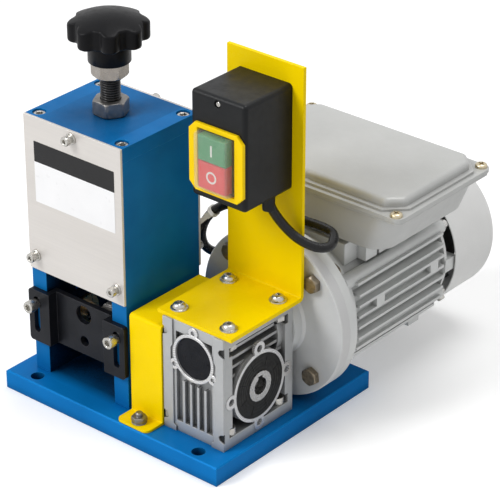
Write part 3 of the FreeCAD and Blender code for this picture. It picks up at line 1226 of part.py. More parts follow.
switch_width = size("switch_width", 52.4, "switch box, left to right")
switch_depth = size("switch_depth", 53, "switch box, front to back")
switch_height = size("switch_height", 86, "switch box height")
switch_low = size("switch_low", 91.8, "switch box above the bracket's foot")
switch_wall = size("switch_wall", 2.5, "switch box walls")
switch_rounding = size("switch_rounding", 3.5, "switch box's rounded edges")
bezel_width = size("bezel_width", 52, "switch frame, left to right")
bezel_height = size("bezel_height", 55, "switch frame's height")
bezel_cut = size("bezel_cut", 6, "switch frame's cut corners")
bezel_proud = size("bezel_proud", 2.7, "switch frame's thickness")
bezel_middle = size("bezel_middle", 34.5, "switch frame's middle above the box's bottom")
opening_width = size("opening_width", 35, "switch frame's opening, left to right")
opening_height = size("opening_height", 47, "switch frame's opening, height")
button_width = size("button_width", 26, "push buttons, left to right")
start_height = size("start_height", 20, "start button's height")
stop_height = size("stop_height", 22, "stop button's height")
button_proud = size("button_proud", 7.5, "push buttons ahead of the box")
button_depth = size("button_depth", 18, "push buttons, front to back")
button_travel = size("button_travel", 3, "push buttons' travel")
button_gap = size("button_gap", 0.4, "gap round the push buttons")
cover_proud = size("cover_proud", 9, "clear cover ahead of the box")
cover_wall = size("cover_wall", 0.8, "clear cover's thickness")
module_depth = size("module_depth", 30, "contact block, front to back")
lead_exit_x = size("lead_exit_x", 18, "lead's way out of the box, right of its middle")
lead_exit_y = size("lead_exit_y", 36, "lead's way out of the box, behind its front")
grommet = size("grommet", 11, "grommet in the switch box's floor")

bracket_z = base_thickness + box_height
bracket = new_body("switch_bracket", gear_x, gear_y, bracket_z)
pad(bracket, "YZ", -bracket_width / 2, bracket_width / 2, outline(
    (-bracket_front, 0), (bracket_back, 0), (bracket_back, bracket_height),
    (bracket_back - bracket_sheet, bracket_height), (bracket_back - bracket_sheet, bracket_sheet),
    (-bracket_front, bracket_sheet)))
pocket(bracket, "XY", 0, bracket_sheet,
       *[disc(x, y, m6 + 0.5) for x, y in mirrored(foot_screw_x, foot_screw_y)])
dress(bracket, "Fillet", bracket_bend, lambda edge: is_along(edge, "x")
      and near(edge.BoundBox.YMin, bracket_back - bracket_sheet)
      and near(edge.BoundBox.ZMin, bracket_sheet))
dress(bracket, "Fillet", bracket_bend + bracket_sheet, lambda edge: is_along(edge, "x")
      and near(edge.BoundBox.YMin, bracket_back) and near(edge.BoundBox.ZMin, 0))

guard_x = tower_x + tower_width / 2 + guard_left + guard_width / 2
guard_y = tower_front - guard_wall_y
guard = new_body("shaft_guard", guard_x, guard_y, base_thickness)
pad(guard, "YZ", -guard_width / 2, guard_width / 2, outline(
    (guard_sheet - guard_tab, 0), (guard_sheet, 0), (guard_sheet, guard_height - guard_sheet),
    (guard_reach, guard_height - guard_sheet), (guard_reach, guard_height),
    (0, guard_height), (0, guard_sheet), (guard_sheet - guard_tab, guard_sheet)))
stud_spot = (guard_stud[0] - guard_x, guard_stud[1] - guard_y)
pocket(guard, "XY", 0, guard_sheet, disc(*stud_spot, m6 + 0.5))
dress(guard, "Fillet", 5, lambda edge: is_along(edge, "z")
      and near(edge.BoundBox.YMin, guard_sheet - guard_tab))
dress(guard, "Fillet", 1, lambda edge: is_along(edge, "x")
      and ((near(edge.BoundBox.YMin, 0) and near(edge.BoundBox.ZMin, guard_sheet))
           or (near(edge.BoundBox.YMin, guard_sheet)
               and near(edge.BoundBox.ZMin, guard_height - guard_sheet))))
dress(guard, "Fillet", guard_sheet + 1, lambda edge: is_along(edge, "x")
      and near(edge.BoundBox.YMin, 0) and near(edge.BoundBox.ZMin, guard_height))

bracket_screws = new_body("bracket_screws", gear_x, gear_y, base_thickness)
dome_seat = box_height + bracket_sheet
dome_places = mirrored(foot_screw_x, foot_screw_y)
dome_top = dome_seat + dome_height
pad(bracket_screws, "XY", dome_seat, dome_top, *[disc(x, y, m6_head) for x, y in dome_places])
dress(bracket_screws, "Fillet", dome_height - 1.2, lambda edge: near(edge.BoundBox.ZMin, dome_top))
pocket(bracket_screws, "XY", dome_top - m6 * 0.35, dome_top,
       *[hexagon(x, y, m6 * 0.6) for x, y in dome_places])
pad(bracket_screws, "XY", top_face - pocket_height + 1.5, dome_seat, *[disc(x, y, m6) for x, y in dome_places])
pad(bracket_screws, "XY", top_face - m6 * 0.8, top_face, *[hexagon(x, y, m6_head) for x, y in dome_places])
stud = (guard_stud[0] - gear_x, guard_stud[1] - gear_y)
pad(bracket_screws, "XY", -thread_depth + 1, stud_height, disc(*stud, m6))
dress(bracket_screws, "Fillet", m6 * 0.4, lambda edge: near(edge.BoundBox.ZMin, stud_height))
pad(bracket_screws, "XY", guard_sheet, guard_sheet + m6 * 0.85, hexagon(*stud, m6_head, 12))

cap_screws(base_screws, "XY", base_thickness + foot_thickness, 1, foot_places, m6, m6_head,
           foot_thickness + thread_depth - 2)

switch_x = gear_x
switch_z = bracket_z + switch_low
switch_front = bracket_back - bracket_sheet - switch_depth
switch_box = new_body("switch_box", switch_x, gear_y + switch_front, switch_z)
pad(switch_box, "XY", 0, switch_height, box(0, switch_depth / 2, switch_width, switch_depth))
dress(switch_box, "Fillet", switch_rounding, lambda edge: not near(edge.BoundBox.YMin, switch_depth))
pocket(switch_box, "XZ", switch_wall, switch_depth,
       box(0, switch_height / 2, switch_width - 2 * switch_wall, switch_height - 2 * switch_wall))
pocket(switch_box, "XZ", 0, switch_wall, box(0, bezel_middle, opening_width - 1, opening_height - 1))
pocket(switch_box, "XZ", 0, 1.6, disc(0, switch_height - 5.5, 6))
pocket(switch_box, "XY", 0, switch_wall, disc(lead_exit_x, lead_exit_y, grommet - 2))

bezel = new_body("switch_bezel", switch_x, gear_y + switch_front, switch_z + bezel_middle)
pad(bezel, "XZ", -bezel_proud, 0, cut_box(bezel_width, bezel_height, bezel_cut))
pocket(bezel, "XZ", -bezel_proud, 0, box(0, 0, opening_width, opening_height))
dress(bezel, "Fillet", 0.8, lambda edge: near(edge.BoundBox.YMax, -bezel_proud))

clear = new_body("switch_cover", switch_x, gear_y + switch_front, switch_z + bezel_middle)
cover_x, cover_z = opening_width - 0.2, opening_height - 0.2
pad(clear, "XZ", -cover_proud, 0, box(0, 0, cover_x, cover_z))
dress(clear, "Fillet", 3.5, lambda edge: not near(edge.BoundBox.YMax, 0) or is_along(edge, "y"))
pocket(clear, "XZ", -cover_proud + cover_wall, 0,
       box(0, 0, cover_x - 2 * cover_wall - 2, cover_z - 2 * cover_wall - 2))

module = new_body("switch_module", switch_x, gear_y + switch_front, switch_z + bezel_middle)
module_width = opening_width - 2
module_height = opening_height - 2
pad(module, "XZ", 0, module_depth, box(0, 0, module_width, module_height))
buttons_low = -(start_height + stop_height + button_gap) / 2
stop_middle = buttons_low + stop_height / 2
start_middle = buttons_low + stop_height + button_gap + start_height / 2
well = button_depth - button_proud + button_travel + touch_gap
for middle, height in ((start_middle, start_height), (stop_middle, stop_height)):
    pocket(module, "XZ", 0, well, box(0, middle, button_width + 2 * touch_gap, height + 2 * touch_gap))


def push_button(label, middle, height):
    """A push button, cushion-edged in front."""
    body = new_body(label, switch_x, gear_y + switch_front - button_proud, switch_z + bezel_middle + middle)
    pad(body, "XZ", 0, button_depth, box(0, 0, button_width, height))
    dress(body, "Fillet", 1.2, lambda edge: near(edge.BoundBox.YMax, 0))
    return body


push_button("start_button", start_middle, start_height)
push_button("stop_button", stop_middle, stop_height)


# Lead from the switch to the motor: it leaves the box downwards, passes round the bracket's edge,
# runs back behind the bracket, drops between the tower and the flange, and turns up into a gland
# under the terminal box. A tie is drawn round it behind the bracket.

gland_flats = size("gland_flats", 17, "gland across flats")
gland_length = size("gland_length", 13, "gland below the box")
tie_width = size("tie_width", 3.6, "cable tie's band")
tie_wall = size("tie_wall", 1.1, "cable tie's thickness")
tie_tail = size("tie_tail", 14, "cable tie's tail")

glands = new_body("cable_glands", gear_x, motor_y, motor_z)
gland_place = (-gland_x, gland_y)
lead_hole = lead_diameter + 2 * running
pad(glands, "XY", box_seat - gland_length, box_seat - 6, disc(*gland_place, gland_flats - 2))
pad(glands, "XY", box_seat - 6, box_seat, hexagon(*gland_place, gland_flats))
pad(glands, "XY", box_seat, box_seat + box_wall + 4, disc(*gland_place, 12))
pad(glands, "XY", box_seat + box_wall, box_seat + box_wall + 3, hexagon(*gland_place, gland_flats - 2))
dress(glands, "Fillet", 3, lambda edge: near(edge.BoundBox.ZMax, box_seat - gland_length))
exit_place = (as_size(lead_exit_x), gear_y + switch_front + lead_exit_y - motor_y)
floor = switch_z - motor_z
pad(glands, "XY", floor - 1.2, floor, disc(*exit_place, grommet))
pad(glands, "XY", floor, floor + switch_wall, disc(*exit_place, grommet - 2))
pad(glands, "XY", floor + switch_wall, floor + switch_wall + 1.2, disc(*exit_place, grommet))
pocket(glands, "XY", box_seat - gland_length, box_seat + box_wall + 4, disc(*gland_place, lead_hole))
pocket(glands, "XY", floor - 1.2, floor + switch_wall + 1.2, disc(*exit_place, lead_hole))

exit_x = (switch_x + lead_exit_x).value
exit_y = (gear_y + switch_front + lead_exit_y).value
gland_at_x = (gear_x - gland_x).value
gland_at_y = (motor_y + gland_y).value
lead_route = [
    (exit_x, exit_y, 211),
    (exit_x, exit_y, 198),
    (exit_x + 4.5, exit_y + 4.1, 186),
    (101.3, 3.1, 174),
    (111.1, 5.8, 168),
    (121, 12.7, 163),
    (125.4, 21.7, 162),
    (122, 30.5, 163.5),
    (116.5, 36.5, 165),
    (107, 36, 167),
    (95, 32.5, 168.5),
    (80, 30, 169.8),
    (57, 30.5, 169.2),
    (34, 29, 166),
    (13.5, 27, 158.5),
    (-1.5, 25.8, 143),
    (-9.5, 28, 125),
    (-12, 36, 108),
    (-9.5, 50, 98),
    (-2.5, 65, 95.5),
    (5.5, 77.5, 102.5),
    (gland_at_x, gland_at_y, 120),
    (gland_at_x, gland_at_y, 139.5),
]


def tube_along(route, diameter):
    """A tube of straight runs joined by tangent arcs, and the radii of those arcs."""
    points = [Vector(*spot) for spot in route]
    edges = []
    radii = []
    start = points[0]
    for before, corner, after in zip(points, points[1:], points[2:]):
        back, ahead = before - corner, after - corner
        shorter = 0.45 * min(back.Length, ahead.Length)
        half_turn = (math.pi - back.getAngle(ahead)) / 2
        radii.append(shorter / math.tan(half_turn))
        back.normalize()
        ahead.normalize()
        arc_start, arc_end = corner + back * shorter, corner + ahead * shorter
        inwards = back + ahead
        inwards.normalize()
        sag = radii[-1] * (1 / math.cos(half_turn) - 1)
        edges.append(Part.LineSegment(start, arc_start).toShape())
        edges.append(Part.Arc(arc_start, corner + inwards * sag, arc_end).toShape())
        start = arc_end
    edges.append(Part.LineSegment(start, points[-1]).toShape())
    path = Part.Wire(edges)
    first = points[1] - points[0]
    section = Part.Wire([Part.makeCircle(diameter / 2, points[0], first)])
    tube = path.makePipeShell([section], True, False)
    expected = math.pi * diameter ** 2 / 4 * path.Length
    print("tube radii", [round(radius, 1) for radius in radii])
    print("tube length", round(path.Length), "volume", round(tube.Volume / expected, 4))
    return tube


doc.recompute()
lead = doc.addObject("Part::Feature", "switch_lead")
lead.Label = "switch_lead"
lead.Shape = tube_along(lead_route, sheet.lead_diameter)
lead.Placement = Placement()

tie_before, tie_after = Vector(*lead_route[14]), Vector(*lead_route[15])
tie_spot = tie_before + (tie_after - tie_before) * 0.5
tie = new_body("cable_tie", *tie_spot, Rotation(Vector(0, 0, 1), tie_after - tie_before))
tie_inner = lead_diameter / 2
tie_outer = tie_inner + tie_wall
rings(tie, "XY", -tie_width / 2, tie_width / 2, [(0, 0)], tie_outer * 2, tie_inner * 2)
pad(tie, "XY", -tie_width / 2 - 0.7, tie_width / 2 + 0.7, box(0, -tie_outer - 1.4, 5, 4))
pad(tie, "XY", 0, tie_tail, box(0, -tie_outer - 2.6, tie_width, tie_wall))


# Every piece is checked, and then written to a file of its own name.

doc.recompute()
pieces = [item for item in doc.Objects if item.TypeId in ("PartDesign::Body", "Part::Feature")]
for item in doc.Objects:
    if "Invalid" in item.State or "Error" in item.State:
        raise RuntimeError("%s failed: %s" % (item.Label, item.State))
for piece in pieces:
    if piece.Shape.isNull() or not piece.Shape.isValid():
        raise RuntimeError("%s has no valid shape" % piece.Label)
os.makedirs("parts", exist_ok=True)
for piece in pieces:
    piece.Shape.exportStep("parts/%s.step" % piece.Label)
    print(piece.Label, len(piece.Shape.Solids), round(piece.Shape.Volume))
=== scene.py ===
import bmesh
import bpy
import math
from mathutils import Matrix, Vector


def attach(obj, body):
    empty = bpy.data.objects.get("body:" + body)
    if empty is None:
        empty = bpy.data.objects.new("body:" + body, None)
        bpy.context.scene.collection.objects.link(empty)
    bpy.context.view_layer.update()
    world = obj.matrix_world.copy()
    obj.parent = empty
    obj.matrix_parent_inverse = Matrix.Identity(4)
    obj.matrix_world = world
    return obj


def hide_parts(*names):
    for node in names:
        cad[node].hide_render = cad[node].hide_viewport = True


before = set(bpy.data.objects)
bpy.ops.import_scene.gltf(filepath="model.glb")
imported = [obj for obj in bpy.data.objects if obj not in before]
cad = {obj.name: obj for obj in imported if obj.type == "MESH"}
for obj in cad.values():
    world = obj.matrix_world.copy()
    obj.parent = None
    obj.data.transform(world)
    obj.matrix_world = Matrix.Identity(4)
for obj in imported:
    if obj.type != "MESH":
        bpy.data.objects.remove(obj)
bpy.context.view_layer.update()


# The camera stands off the machine's front right corner and looks a little down on it, as the
# photographer did with a long lens.
eye = Vector((1.1096, -1.2350, 1.0199))
looked_at = Vector((0.02185, 0.05135, 0.11129))
camera = bpy.data.objects.new("camera", bpy.data.cameras.new("camera"))
bpy.context.scene.collection.objects.link(camera)
camera.data.sensor_width = 36
camera.data.lens = 174.8
camera.data.clip_end = 20
camera.location = eye
camera.rotation_euler = (looked_at - eye).to_track_quat("-Z", "Y").to_euler()
bpy.context.scene.camera = camera


# The lead is a round rubber sheathed cable of 7.5 mm. It comes out of the grommet in the switch
# box's floor, loops forward and back round the bracket, and goes up into the gland under the
# motor's terminal box.
def new_finish(name, colour, metallic, roughness, shine=0.5):
    finish = bpy.data.materials.new(name)
    finish.use_nodes = True
    shader = finish.node_tree.nodes["Principled BSDF"]
    shader.inputs["Base Color"].default_value = (*colour, 1)
    shader.inputs["Metallic"].default_value = metallic
    shader.inputs["Roughness"].default_value = roughness
    shader.inputs["Specular IOR Level"].default_value = shine
    return finish


def grain(finish, size, stretch=(1, 1, 1), detail=3):
    nodes = finish.node_tree.nodes
    place = nodes.new("ShaderNodeTexCoord")
    spread = nodes.new("ShaderNodeMapping")
    spread.inputs["Scale"].default_value = [side / size for side in stretch]
    noise = nodes.new("ShaderNodeTexNoise")
    noise.inputs["Scale"].default_value = 1
    noise.inputs["Detail"].default_value = detail
    finish.node_tree.links.new(place.outputs["Object"], spread.inputs["Vector"])
    finish.node_tree.links.new(spread.outputs["Vector"], noise.inputs["Vector"])
    return noise.outputs["Fac"]


def spread_over(finish, pattern, low, high, start=0.3, end=0.7):
    reach = finish.node_tree.nodes.new("ShaderNodeMapRange")
    reach.inputs["From Min"].default_value = start
    reach.inputs["From Max"].default_value = end
    reach.inputs["To Min"].default_value = low
    reach.inputs["To Max"].default_value = high
    finish.node_tree.links.new(pattern, reach.inputs["Value"])
    return reach.outputs["Result"]


def tint(finish, pattern, colour):
    """The colour takes the place of what is there, as far as the pattern says."""
    tree = finish.node_tree
    shader = tree.nodes["Principled BSDF"]
    blend = tree.nodes.new("ShaderNodeMix")
    blend.data_type = "RGBA"
    blend.inputs["A"].default_value = shader.inputs["Base Color"].default_value
    blend.inputs["B"].default_value = (*colour, 1)
    for link in shader.inputs["Base Color"].links:
        tree.links.new(link.from_socket, blend.inputs["A"])
    tree.links.new(pattern, blend.inputs["Factor"])
    tree.links.new(blend.outputs["Result"], shader.inputs["Base Color"])


def mottle(finish, pattern, share, colour, start=0.3, end=0.7):
    tint(finish, spread_over(finish, pattern, 0, share, start, end), colour)


def roughen(finish, pattern, low, high):
    shader = finish.node_tree.nodes["Principled BSDF"]
    finish.node_tree.links.new(spread_over(finish, pattern, low, high), shader.inputs["Roughness"])


def emboss(finish, pattern, depth):
    tree = finish.node_tree
    shader = tree.nodes["Principled BSDF"]
    bump = tree.nodes.new("ShaderNodeBump")
    bump.inputs["Distance"].default_value = depth
    for link in shader.inputs["Normal"].links:
        tree.links.new(link.from_socket, bump.inputs["Normal"])
    tree.links.new(pattern, bump.inputs["Height"])
    tree.links.new(bump.outputs["Normal"], shader.inputs["Normal"])


lead_diameter = 0.0075
lead_route = [
    (0.0885, -0.0063, 0.211), (0.0885, -0.0063, 0.198), (0.093, -0.0022, 0.186),
    (0.1013, 0.0031, 0.174), (0.1111, 0.0058, 0.168), (0.121, 0.0127, 0.163),
    (0.1254, 0.0217, 0.162), (0.122, 0.0305, 0.1635), (0.1165, 0.0365, 0.165),
    (0.107, 0.036, 0.167), (0.095, 0.0325, 0.1685), (0.080, 0.030, 0.1698),
    (0.057, 0.0305, 0.1692), (0.034, 0.029, 0.166), (0.0135, 0.027, 0.1585),
    (-0.0015, 0.0258, 0.143), (-0.0095, 0.028, 0.125), (-0.012, 0.036, 0.108),
    (-0.0095, 0.050, 0.098), (-0.0025, 0.065, 0.0955), (0.0055, 0.0775, 0.1025),
    (0.011, 0.085, 0.120), (0.011, 0.085, 0.1395),
]
rubber_sheath = new_finish("rubber_sheath", (0.006, 0.006, 0.0065), 0, 0.24, 0.3)
mottle(rubber_sheath, grain(rubber_sheath, 0.008), 0.5, (0.012, 0.012, 0.012))
roughen(rubber_sheath, grain(rubber_sheath, 0.004), 0.18, 0.32)
emboss(rubber_sheath, grain(rubber_sheath, 0.0006), 0.00004)

lead_curve = bpy.data.curves.new("lead_cable", "CURVE")
lead_curve.dimensions = "3D"
lead_line = lead_curve.splines.new("NURBS")
lead_line.points.add(len(lead_route) - 1)
for point, place in zip(lead_line.points, lead_route):
    point.co = (*place, 1)
lead_line.order_u = 3
lead_line.use_endpoint_u = True
lead_line.resolution_u = 10
lead_curve.bevel_depth = lead_diameter / 2
lead_curve.bevel_resolution = 5
lead_curve.use_fill_caps = True
lead_curve.materials.append(rubber_sheath)
lead_cable = bpy.data.objects.new("lead_cable", lead_curve)
bpy.context.scene.collection.objects.link(lead_cable)
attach(lead_cable, "frame")
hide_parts("switch_lead")


# The tie is a strap of white nylon, drawn tight round the lead behind the bracket, with the end
# of its strap left standing.
def coat(finish, *nodes):
    for node in nodes:
        for slot in cad[node].material_slots:
            slot.material = finish


white_nylon = new_finish("white_nylon", (0.8, 0.8, 0.77), 0, 0.45)
mottle(white_nylon, grain(white_nylon, 0.004), 0.4, (0.66, 0.65, 0.6))
roughen(white_nylon, grain(white_nylon, 0.003), 0.35, 0.55)
emboss(white_nylon, grain(white_nylon, 0.0008), 0.00003)
coat(white_nylon, "cable_tie")


# Where the lead leaves the switch box it passes a rubber grommet with a tapered sleeve. Under the
# terminal box it goes into a moulded nylon gland: a ribbed dome nut on a hexagon.
def turned(levels, steps=48, bored=False):
    """A closed shape of rings one above the other: each has a radius, or one for each angle."""
    shape = bmesh.new()
    rings = []
    for reach, height in levels:
        ring = []
        for step in range(steps):
            angle = math.tau * step / steps
            radius = reach(angle) if callable(reach) else reach
            ring.append(shape.verts.new((radius * math.cos(angle), radius * math.sin(angle),
                                         height)))
        rings.append(ring)
    pairs = list(zip(rings, rings[1:]))
    if bored:
        pairs.append((rings[-1], rings[0]))
    else:
        shape.faces.new(rings[0])
        shape.faces.new(rings[-1])
    for lower, upper in pairs:
        for step in range(steps):
            shape.faces.new((lower[step], lower[step - 1], upper[step - 1], upper[step]))
    bmesh.ops.recalc_face_normals(shape, faces=shape.faces)
    return shape


def placed(shape, place, facing=(0, 0, 1), turn=0.0):
    aim = Vector(facing).to_track_quat("Z", "Y").to_matrix().to_4x4()
    shape.transform(Matrix.Translation(place) @ aim @ Matrix.Rotation(turn, 4, "Z"))
    return shape


def joined(*shapes):
    whole = bmesh.new()
    for shape in shapes:
        part = bpy.data.meshes.new("part")
        shape.to_mesh(part)
        shape.free()
        whole.from_mesh(part)
        bpy.data.meshes.remove(part)
    return whole


def smoothed(shape, name, sharpest=0.6):
    for face in shape.faces:
        face.smooth = True
    for edge in shape.edges:
        edge.smooth = edge.calc_face_angle(0) < sharpest
    mesh = bpy.data.meshes.new(name)
    shape.to_mesh(mesh)
    shape.free()
    return mesh


def fit(name, mesh, finish, body, slot, *nodes):
    """The finished piece rides on its body and stands for these CAD nodes."""
    mesh.materials.clear()
    mesh.materials.append(finish)
    piece = bpy.data.objects.new(name, mesh)
    bpy.context.scene.collection.objects.link(piece)
    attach(piece, body)
    if nodes:
        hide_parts(*nodes)
    return piece


def hexagonal(flats, widest=1.0):
    def reach(angle):
        off = (angle + math.pi / 6) % (math.pi / 3) - math.pi / 6
        return min(flats / 2 / math.cos(off), widest)
    return reach


def knurled(radius, teeth, depth):
    return lambda angle: radius - depth * (0.5 - 0.5 * math.cos(teeth * angle))


lead_hole = 0.0041
grommet = turned([(lead_hole, 0.1925), (0.0046, 0.1925), (0.0048, 0.1955), (0.0050, 0.1985),
                  (0.0051, 0.2030), (0.0055, 0.2036), (0.0055, 0.2048), (0.0045, 0.2048),
                  (0.0045, 0.2073), (0.0055, 0.2073), (0.0055, 0.2083), (lead_hole, 0.2085)],
                  bored=True)
gland_ribs = knurled(0.0075, 12, 0.0006)
gland = turned([(lead_hole, 0.1330), (0.0052, 0.1330), (0.0062, 0.1336), (0.0070, 0.1350),
                (gland_ribs, 0.1362), (gland_ribs, 0.1394), (0.0072, 0.1400),
                (hexagonal(0.017, 0.0095), 0.1401), (hexagonal(0.017), 0.1407),
                (hexagonal(0.017), 0.1455),
                (hexagonal(0.017, 0.0095), 0.1460), (0.0060, 0.1460), (0.0060, 0.1485),
                (hexagonal(0.015), 0.1485), (hexagonal(0.015), 0.1515), (0.0060, 0.1515),
                (0.0060, 0.1525), (lead_hole, 0.1525)], steps=72, bored=True)
black_nylon = new_finish("black_nylon", (0.007, 0.007, 0.008), 0, 0.45, 0.2)
mottle(black_nylon, grain(black_nylon, 0.006), 0.5, (0.014, 0.014, 0.014))
roughen(black_nylon, grain(black_nylon, 0.003), 0.35, 0.55)
emboss(black_nylon, grain(black_nylon, 0.0008), 0.00005)
fit("lead_glands",
    smoothed(joined(placed(grommet, (0.0885, -0.0063, 0)), placed(gland, (0.011, 0.085, 0))),
             "lead_glands"),
    black_nylon, "frame", "switch_black", "cable_glands")


# The base is a slab of aluminium, sawn and bevelled, blasted matt and anodised blue, with bench
# bolt holes drilled at its corners. Between the tower's posts, and in corners, the blue is painted
# darker: painted shade, where little light comes in.
def soften(finish, radius, wear_and_highlight=None, share=1.0):
    """The edges catch the light as if rounded, and take the given colour: partly wear, partly
    painted highlight.
    """
    tree = finish.node_tree
    rounding = tree.nodes.new("ShaderNodeBevel")
    rounding.samples = 4
    rounding.inputs["Radius"].default_value = radius
    tree.links.new(rounding.outputs["Normal"], tree.nodes["Principled BSDF"].inputs["Normal"])
    if wear_and_highlight:
        flat = tree.nodes.new("ShaderNodeNewGeometry")
        alike = tree.nodes.new("ShaderNodeVectorMath")
        alike.operation = "DOT_PRODUCT"
        tree.links.new(rounding.outputs["Normal"], alike.inputs[0])
        tree.links.new(flat.outputs["Normal"], alike.inputs[1])
        # Partly wear, partly painted highlight: the edges take the given colour.
        tint(finish, spread_over(finish, alike.outputs["Value"], share, 0, 0.75, 0.97), wear_and_highlight)


def axis_of(finish, axis):
    place = finish.node_tree.nodes.new("ShaderNodeTexCoord")
    parts = finish.node_tree.nodes.new("ShaderNodeSeparateXYZ")
    finish.node_tree.links.new(place.outputs["Object"], parts.inputs["Vector"])
    return parts.outputs[axis]


def within(finish, pattern, middle, half):
    """1 where the pattern is within half of the middle, and else 0."""
    test = finish.node_tree.nodes.new("ShaderNodeMath")
    test.operation = "COMPARE"
    test.inputs[1].default_value = middle
    test.inputs[2].default_value = half
    finish.node_tree.links.new(pattern, test.inputs[0])
    return test.outputs["Value"]


def both(finish, one, other):
    product = finish.node_tree.nodes.new("ShaderNodeMath")
    product.operation = "MULTIPLY"
    finish.node_tree.links.new(one, product.inputs[0])
    finish.node_tree.links.new(other, product.inputs[1])
    return product.outputs["Value"]


def painted_corner_shade(finish, reach, share, clear=0.8):
    """How far a spot lies in a corner, away from the open: a mask for painted shade there."""
    corners = finish.node_tree.nodes.new("ShaderNodeAmbientOcclusion")
    corners.samples = 4
    corners.inputs["Distance"].default_value = reach
    return spread_over(finish, corners.outputs["AO"], share, 0, 0.25, clear)


painted_shade_inside = (0.0005, 0.003, 0.01)
blue_anodised = new_finish("blue_anodised", (0.002, 0.16, 0.47), 0.1, 0.38, 0.04)
mottle(blue_anodised, grain(blue_anodised, 0.05, detail=5), 1, (0.003, 0.19, 0.55))
mottle(blue_anodised, grain(blue_anodised, 0.002, (0.08, 1, 1)), 0.3, (0.006, 0.26, 0.66), 0.62,
       0.8)
soften(blue_anodised, 0.0007, (0.03, 0.33, 0.74), 0.8)
# Painted shade: the blue goes near black between the posts, where the tower keeps the light out.
between_posts = both(blue_anodised,
                     within(blue_anodised, axis_of(blue_anodised, "X"), -0.046, 0.0352),
                     spread_over(blue_anodised, axis_of(blue_anodised, "Y"), 0, 1, -0.078, -0.066))
tint(blue_anodised, both(blue_anodised, painted_corner_shade(blue_anodised, 0.14, 1.0, 0.85), between_posts),
     painted_shade_inside)
# Painted shade: the blue is darker in corners.
tint(blue_anodised, painted_corner_shade(blue_anodised, 0.015, 0.8), (0.001, 0.03, 0.09))
roughen(blue_anodised, grain(blue_anodised, 0.012, detail=6), 0.30, 0.44)
emboss(blue_anodised, grain(blue_anodised, 0.0004), 0.00002)
coat(blue_anodised, "base_plate")


# The tower is two thick posts and a top plate of the same blue aluminium, milled square. The
# posts have grooves inside for the blade's carrier, and bores for the roller shaft's bushes.
blue_milled = new_finish("blue_milled", (0.003, 0.125, 0.36), 0.12, 0.36, 0.04)
mottle(blue_milled, grain(blue_milled, 0.03, detail=5), 1, (0.005, 0.155, 0.43))
soften(blue_milled, 0.0006, (0.03, 0.30, 0.68), 0.7)
# Painted shade: the posts' inner faces go near black between the posts, where little light comes
# in.
between_posts = within(blue_milled, axis_of(blue_milled, "X"), -0.046, 0.0352)
tint(blue_milled, both(blue_milled, painted_corner_shade(blue_milled, 0.14, 1.0, 0.85), between_posts),
     painted_shade_inside)
roughen(blue_milled, grain(blue_milled, 0.008, (1, 1, 0.1), 5), 0.28, 0.42)
emboss(blue_milled, grain(blue_milled, 0.0005, (1, 1, 0.05)), 0.000015)
coat(blue_milled, "left_side_plate", "right_side_plate", "top_plate")


# Socket cap screws hold the tower and the gearbox's feet: nickel plated steel, with knurled heads
# and hexagon sockets, each turned to where it came tight.
def set_in_place_tree():
    tree = bpy.data.node_groups.new("set_in_place", "GeometryNodeTree")
    for label, kind in (("Places", "Geometry"), ("Part", "Object"), ("Finish", "Material"),
                        ("Largest Turn", "Float"), ("Seed", "Int")):
        tree.interface.new_socket(label, in_out="INPUT", socket_type="NodeSocket" + kind)
    tree.interface.new_socket("Set Parts", in_out="OUTPUT", socket_type="NodeSocketGeometry")
    given = tree.nodes.new("NodeGroupInput")
    part = tree.nodes.new("GeometryNodeObjectInfo")
    facing = tree.nodes.new("GeometryNodeInputNamedAttribute")
    facing.data_type = "FLOAT_VECTOR"
    facing.inputs["Name"].default_value = "facing"
    aim = tree.nodes.new("FunctionNodeAlignRotationToVector")
    aim.axis = "Z"
    chance = tree.nodes.new("FunctionNodeRandomValue")
    chance.data_type = "FLOAT"
    largest = next(entry for entry in chance.inputs if entry.enabled and entry.name == "Max")
    drawn = next(result for result in chance.outputs if result.enabled)
    turn = tree.nodes.new("FunctionNodeAxisAngleToRotation")
    turn.inputs["Axis"].default_value = (0, 0, 1)
    tightened = tree.nodes.new("FunctionNodeRotateRotation")
    tightened.rotation_space = "LOCAL"
    put = tree.nodes.new("GeometryNodeInstanceOnPoints")
    real = tree.nodes.new("GeometryNodeRealizeInstances")
    coated = tree.nodes.new("GeometryNodeSetMaterial")
    result = tree.nodes.new("NodeGroupOutput")
    for start, end in ((given.outputs["Places"], put.inputs["Points"]),
                       (given.outputs["Part"], part.inputs["Object"]),
                       (part.outputs["Geometry"], put.inputs["Instance"]),
                       (facing.outputs["Attribute"], aim.inputs["Vector"]),
                       (given.outputs["Largest Turn"], largest),
                       (given.outputs["Seed"], chance.inputs["Seed"]),
                       (drawn, turn.inputs["Angle"]),
                       (aim.outputs["Rotation"], tightened.inputs["Rotation"]),
                       (turn.outputs["Rotation"], tightened.inputs["Rotate By"]),
                       (tightened.outputs["Rotation"], put.inputs["Rotation"]),
                       (put.outputs["Instances"], real.inputs["Geometry"]),
                       (real.outputs["Geometry"], coated.inputs["Geometry"]),
                       (given.outputs["Finish"], coated.inputs["Material"]),
                       (coated.outputs["Geometry"], result.inputs["Set Parts"])):
        tree.links.new(start, end)
    return tree


def made_by(tree, source, settings):
    """The plain mesh that a node tree makes of this mesh, with its named inputs set."""
    maker = bpy.data.objects.new(source.name, source)
    bpy.context.scene.collection.objects.link(maker)
    rule = maker.modifiers.new("rule", "NODES")
    rule.node_group = tree
    for entry in tree.interface.items_tree:
        if entry.in_out == "INPUT" and entry.name in settings:
            rule[entry.identifier] = settings[entry.name]
    bpy.context.view_layer.update()
    view = bpy.context.evaluated_depsgraph_get()
    mesh = bpy.data.meshes.new_from_object(maker.evaluated_get(view))
    maker.modifiers.clear()
    bpy.data.objects.remove(maker)
    return mesh


set_in_place = set_in_place_tree()


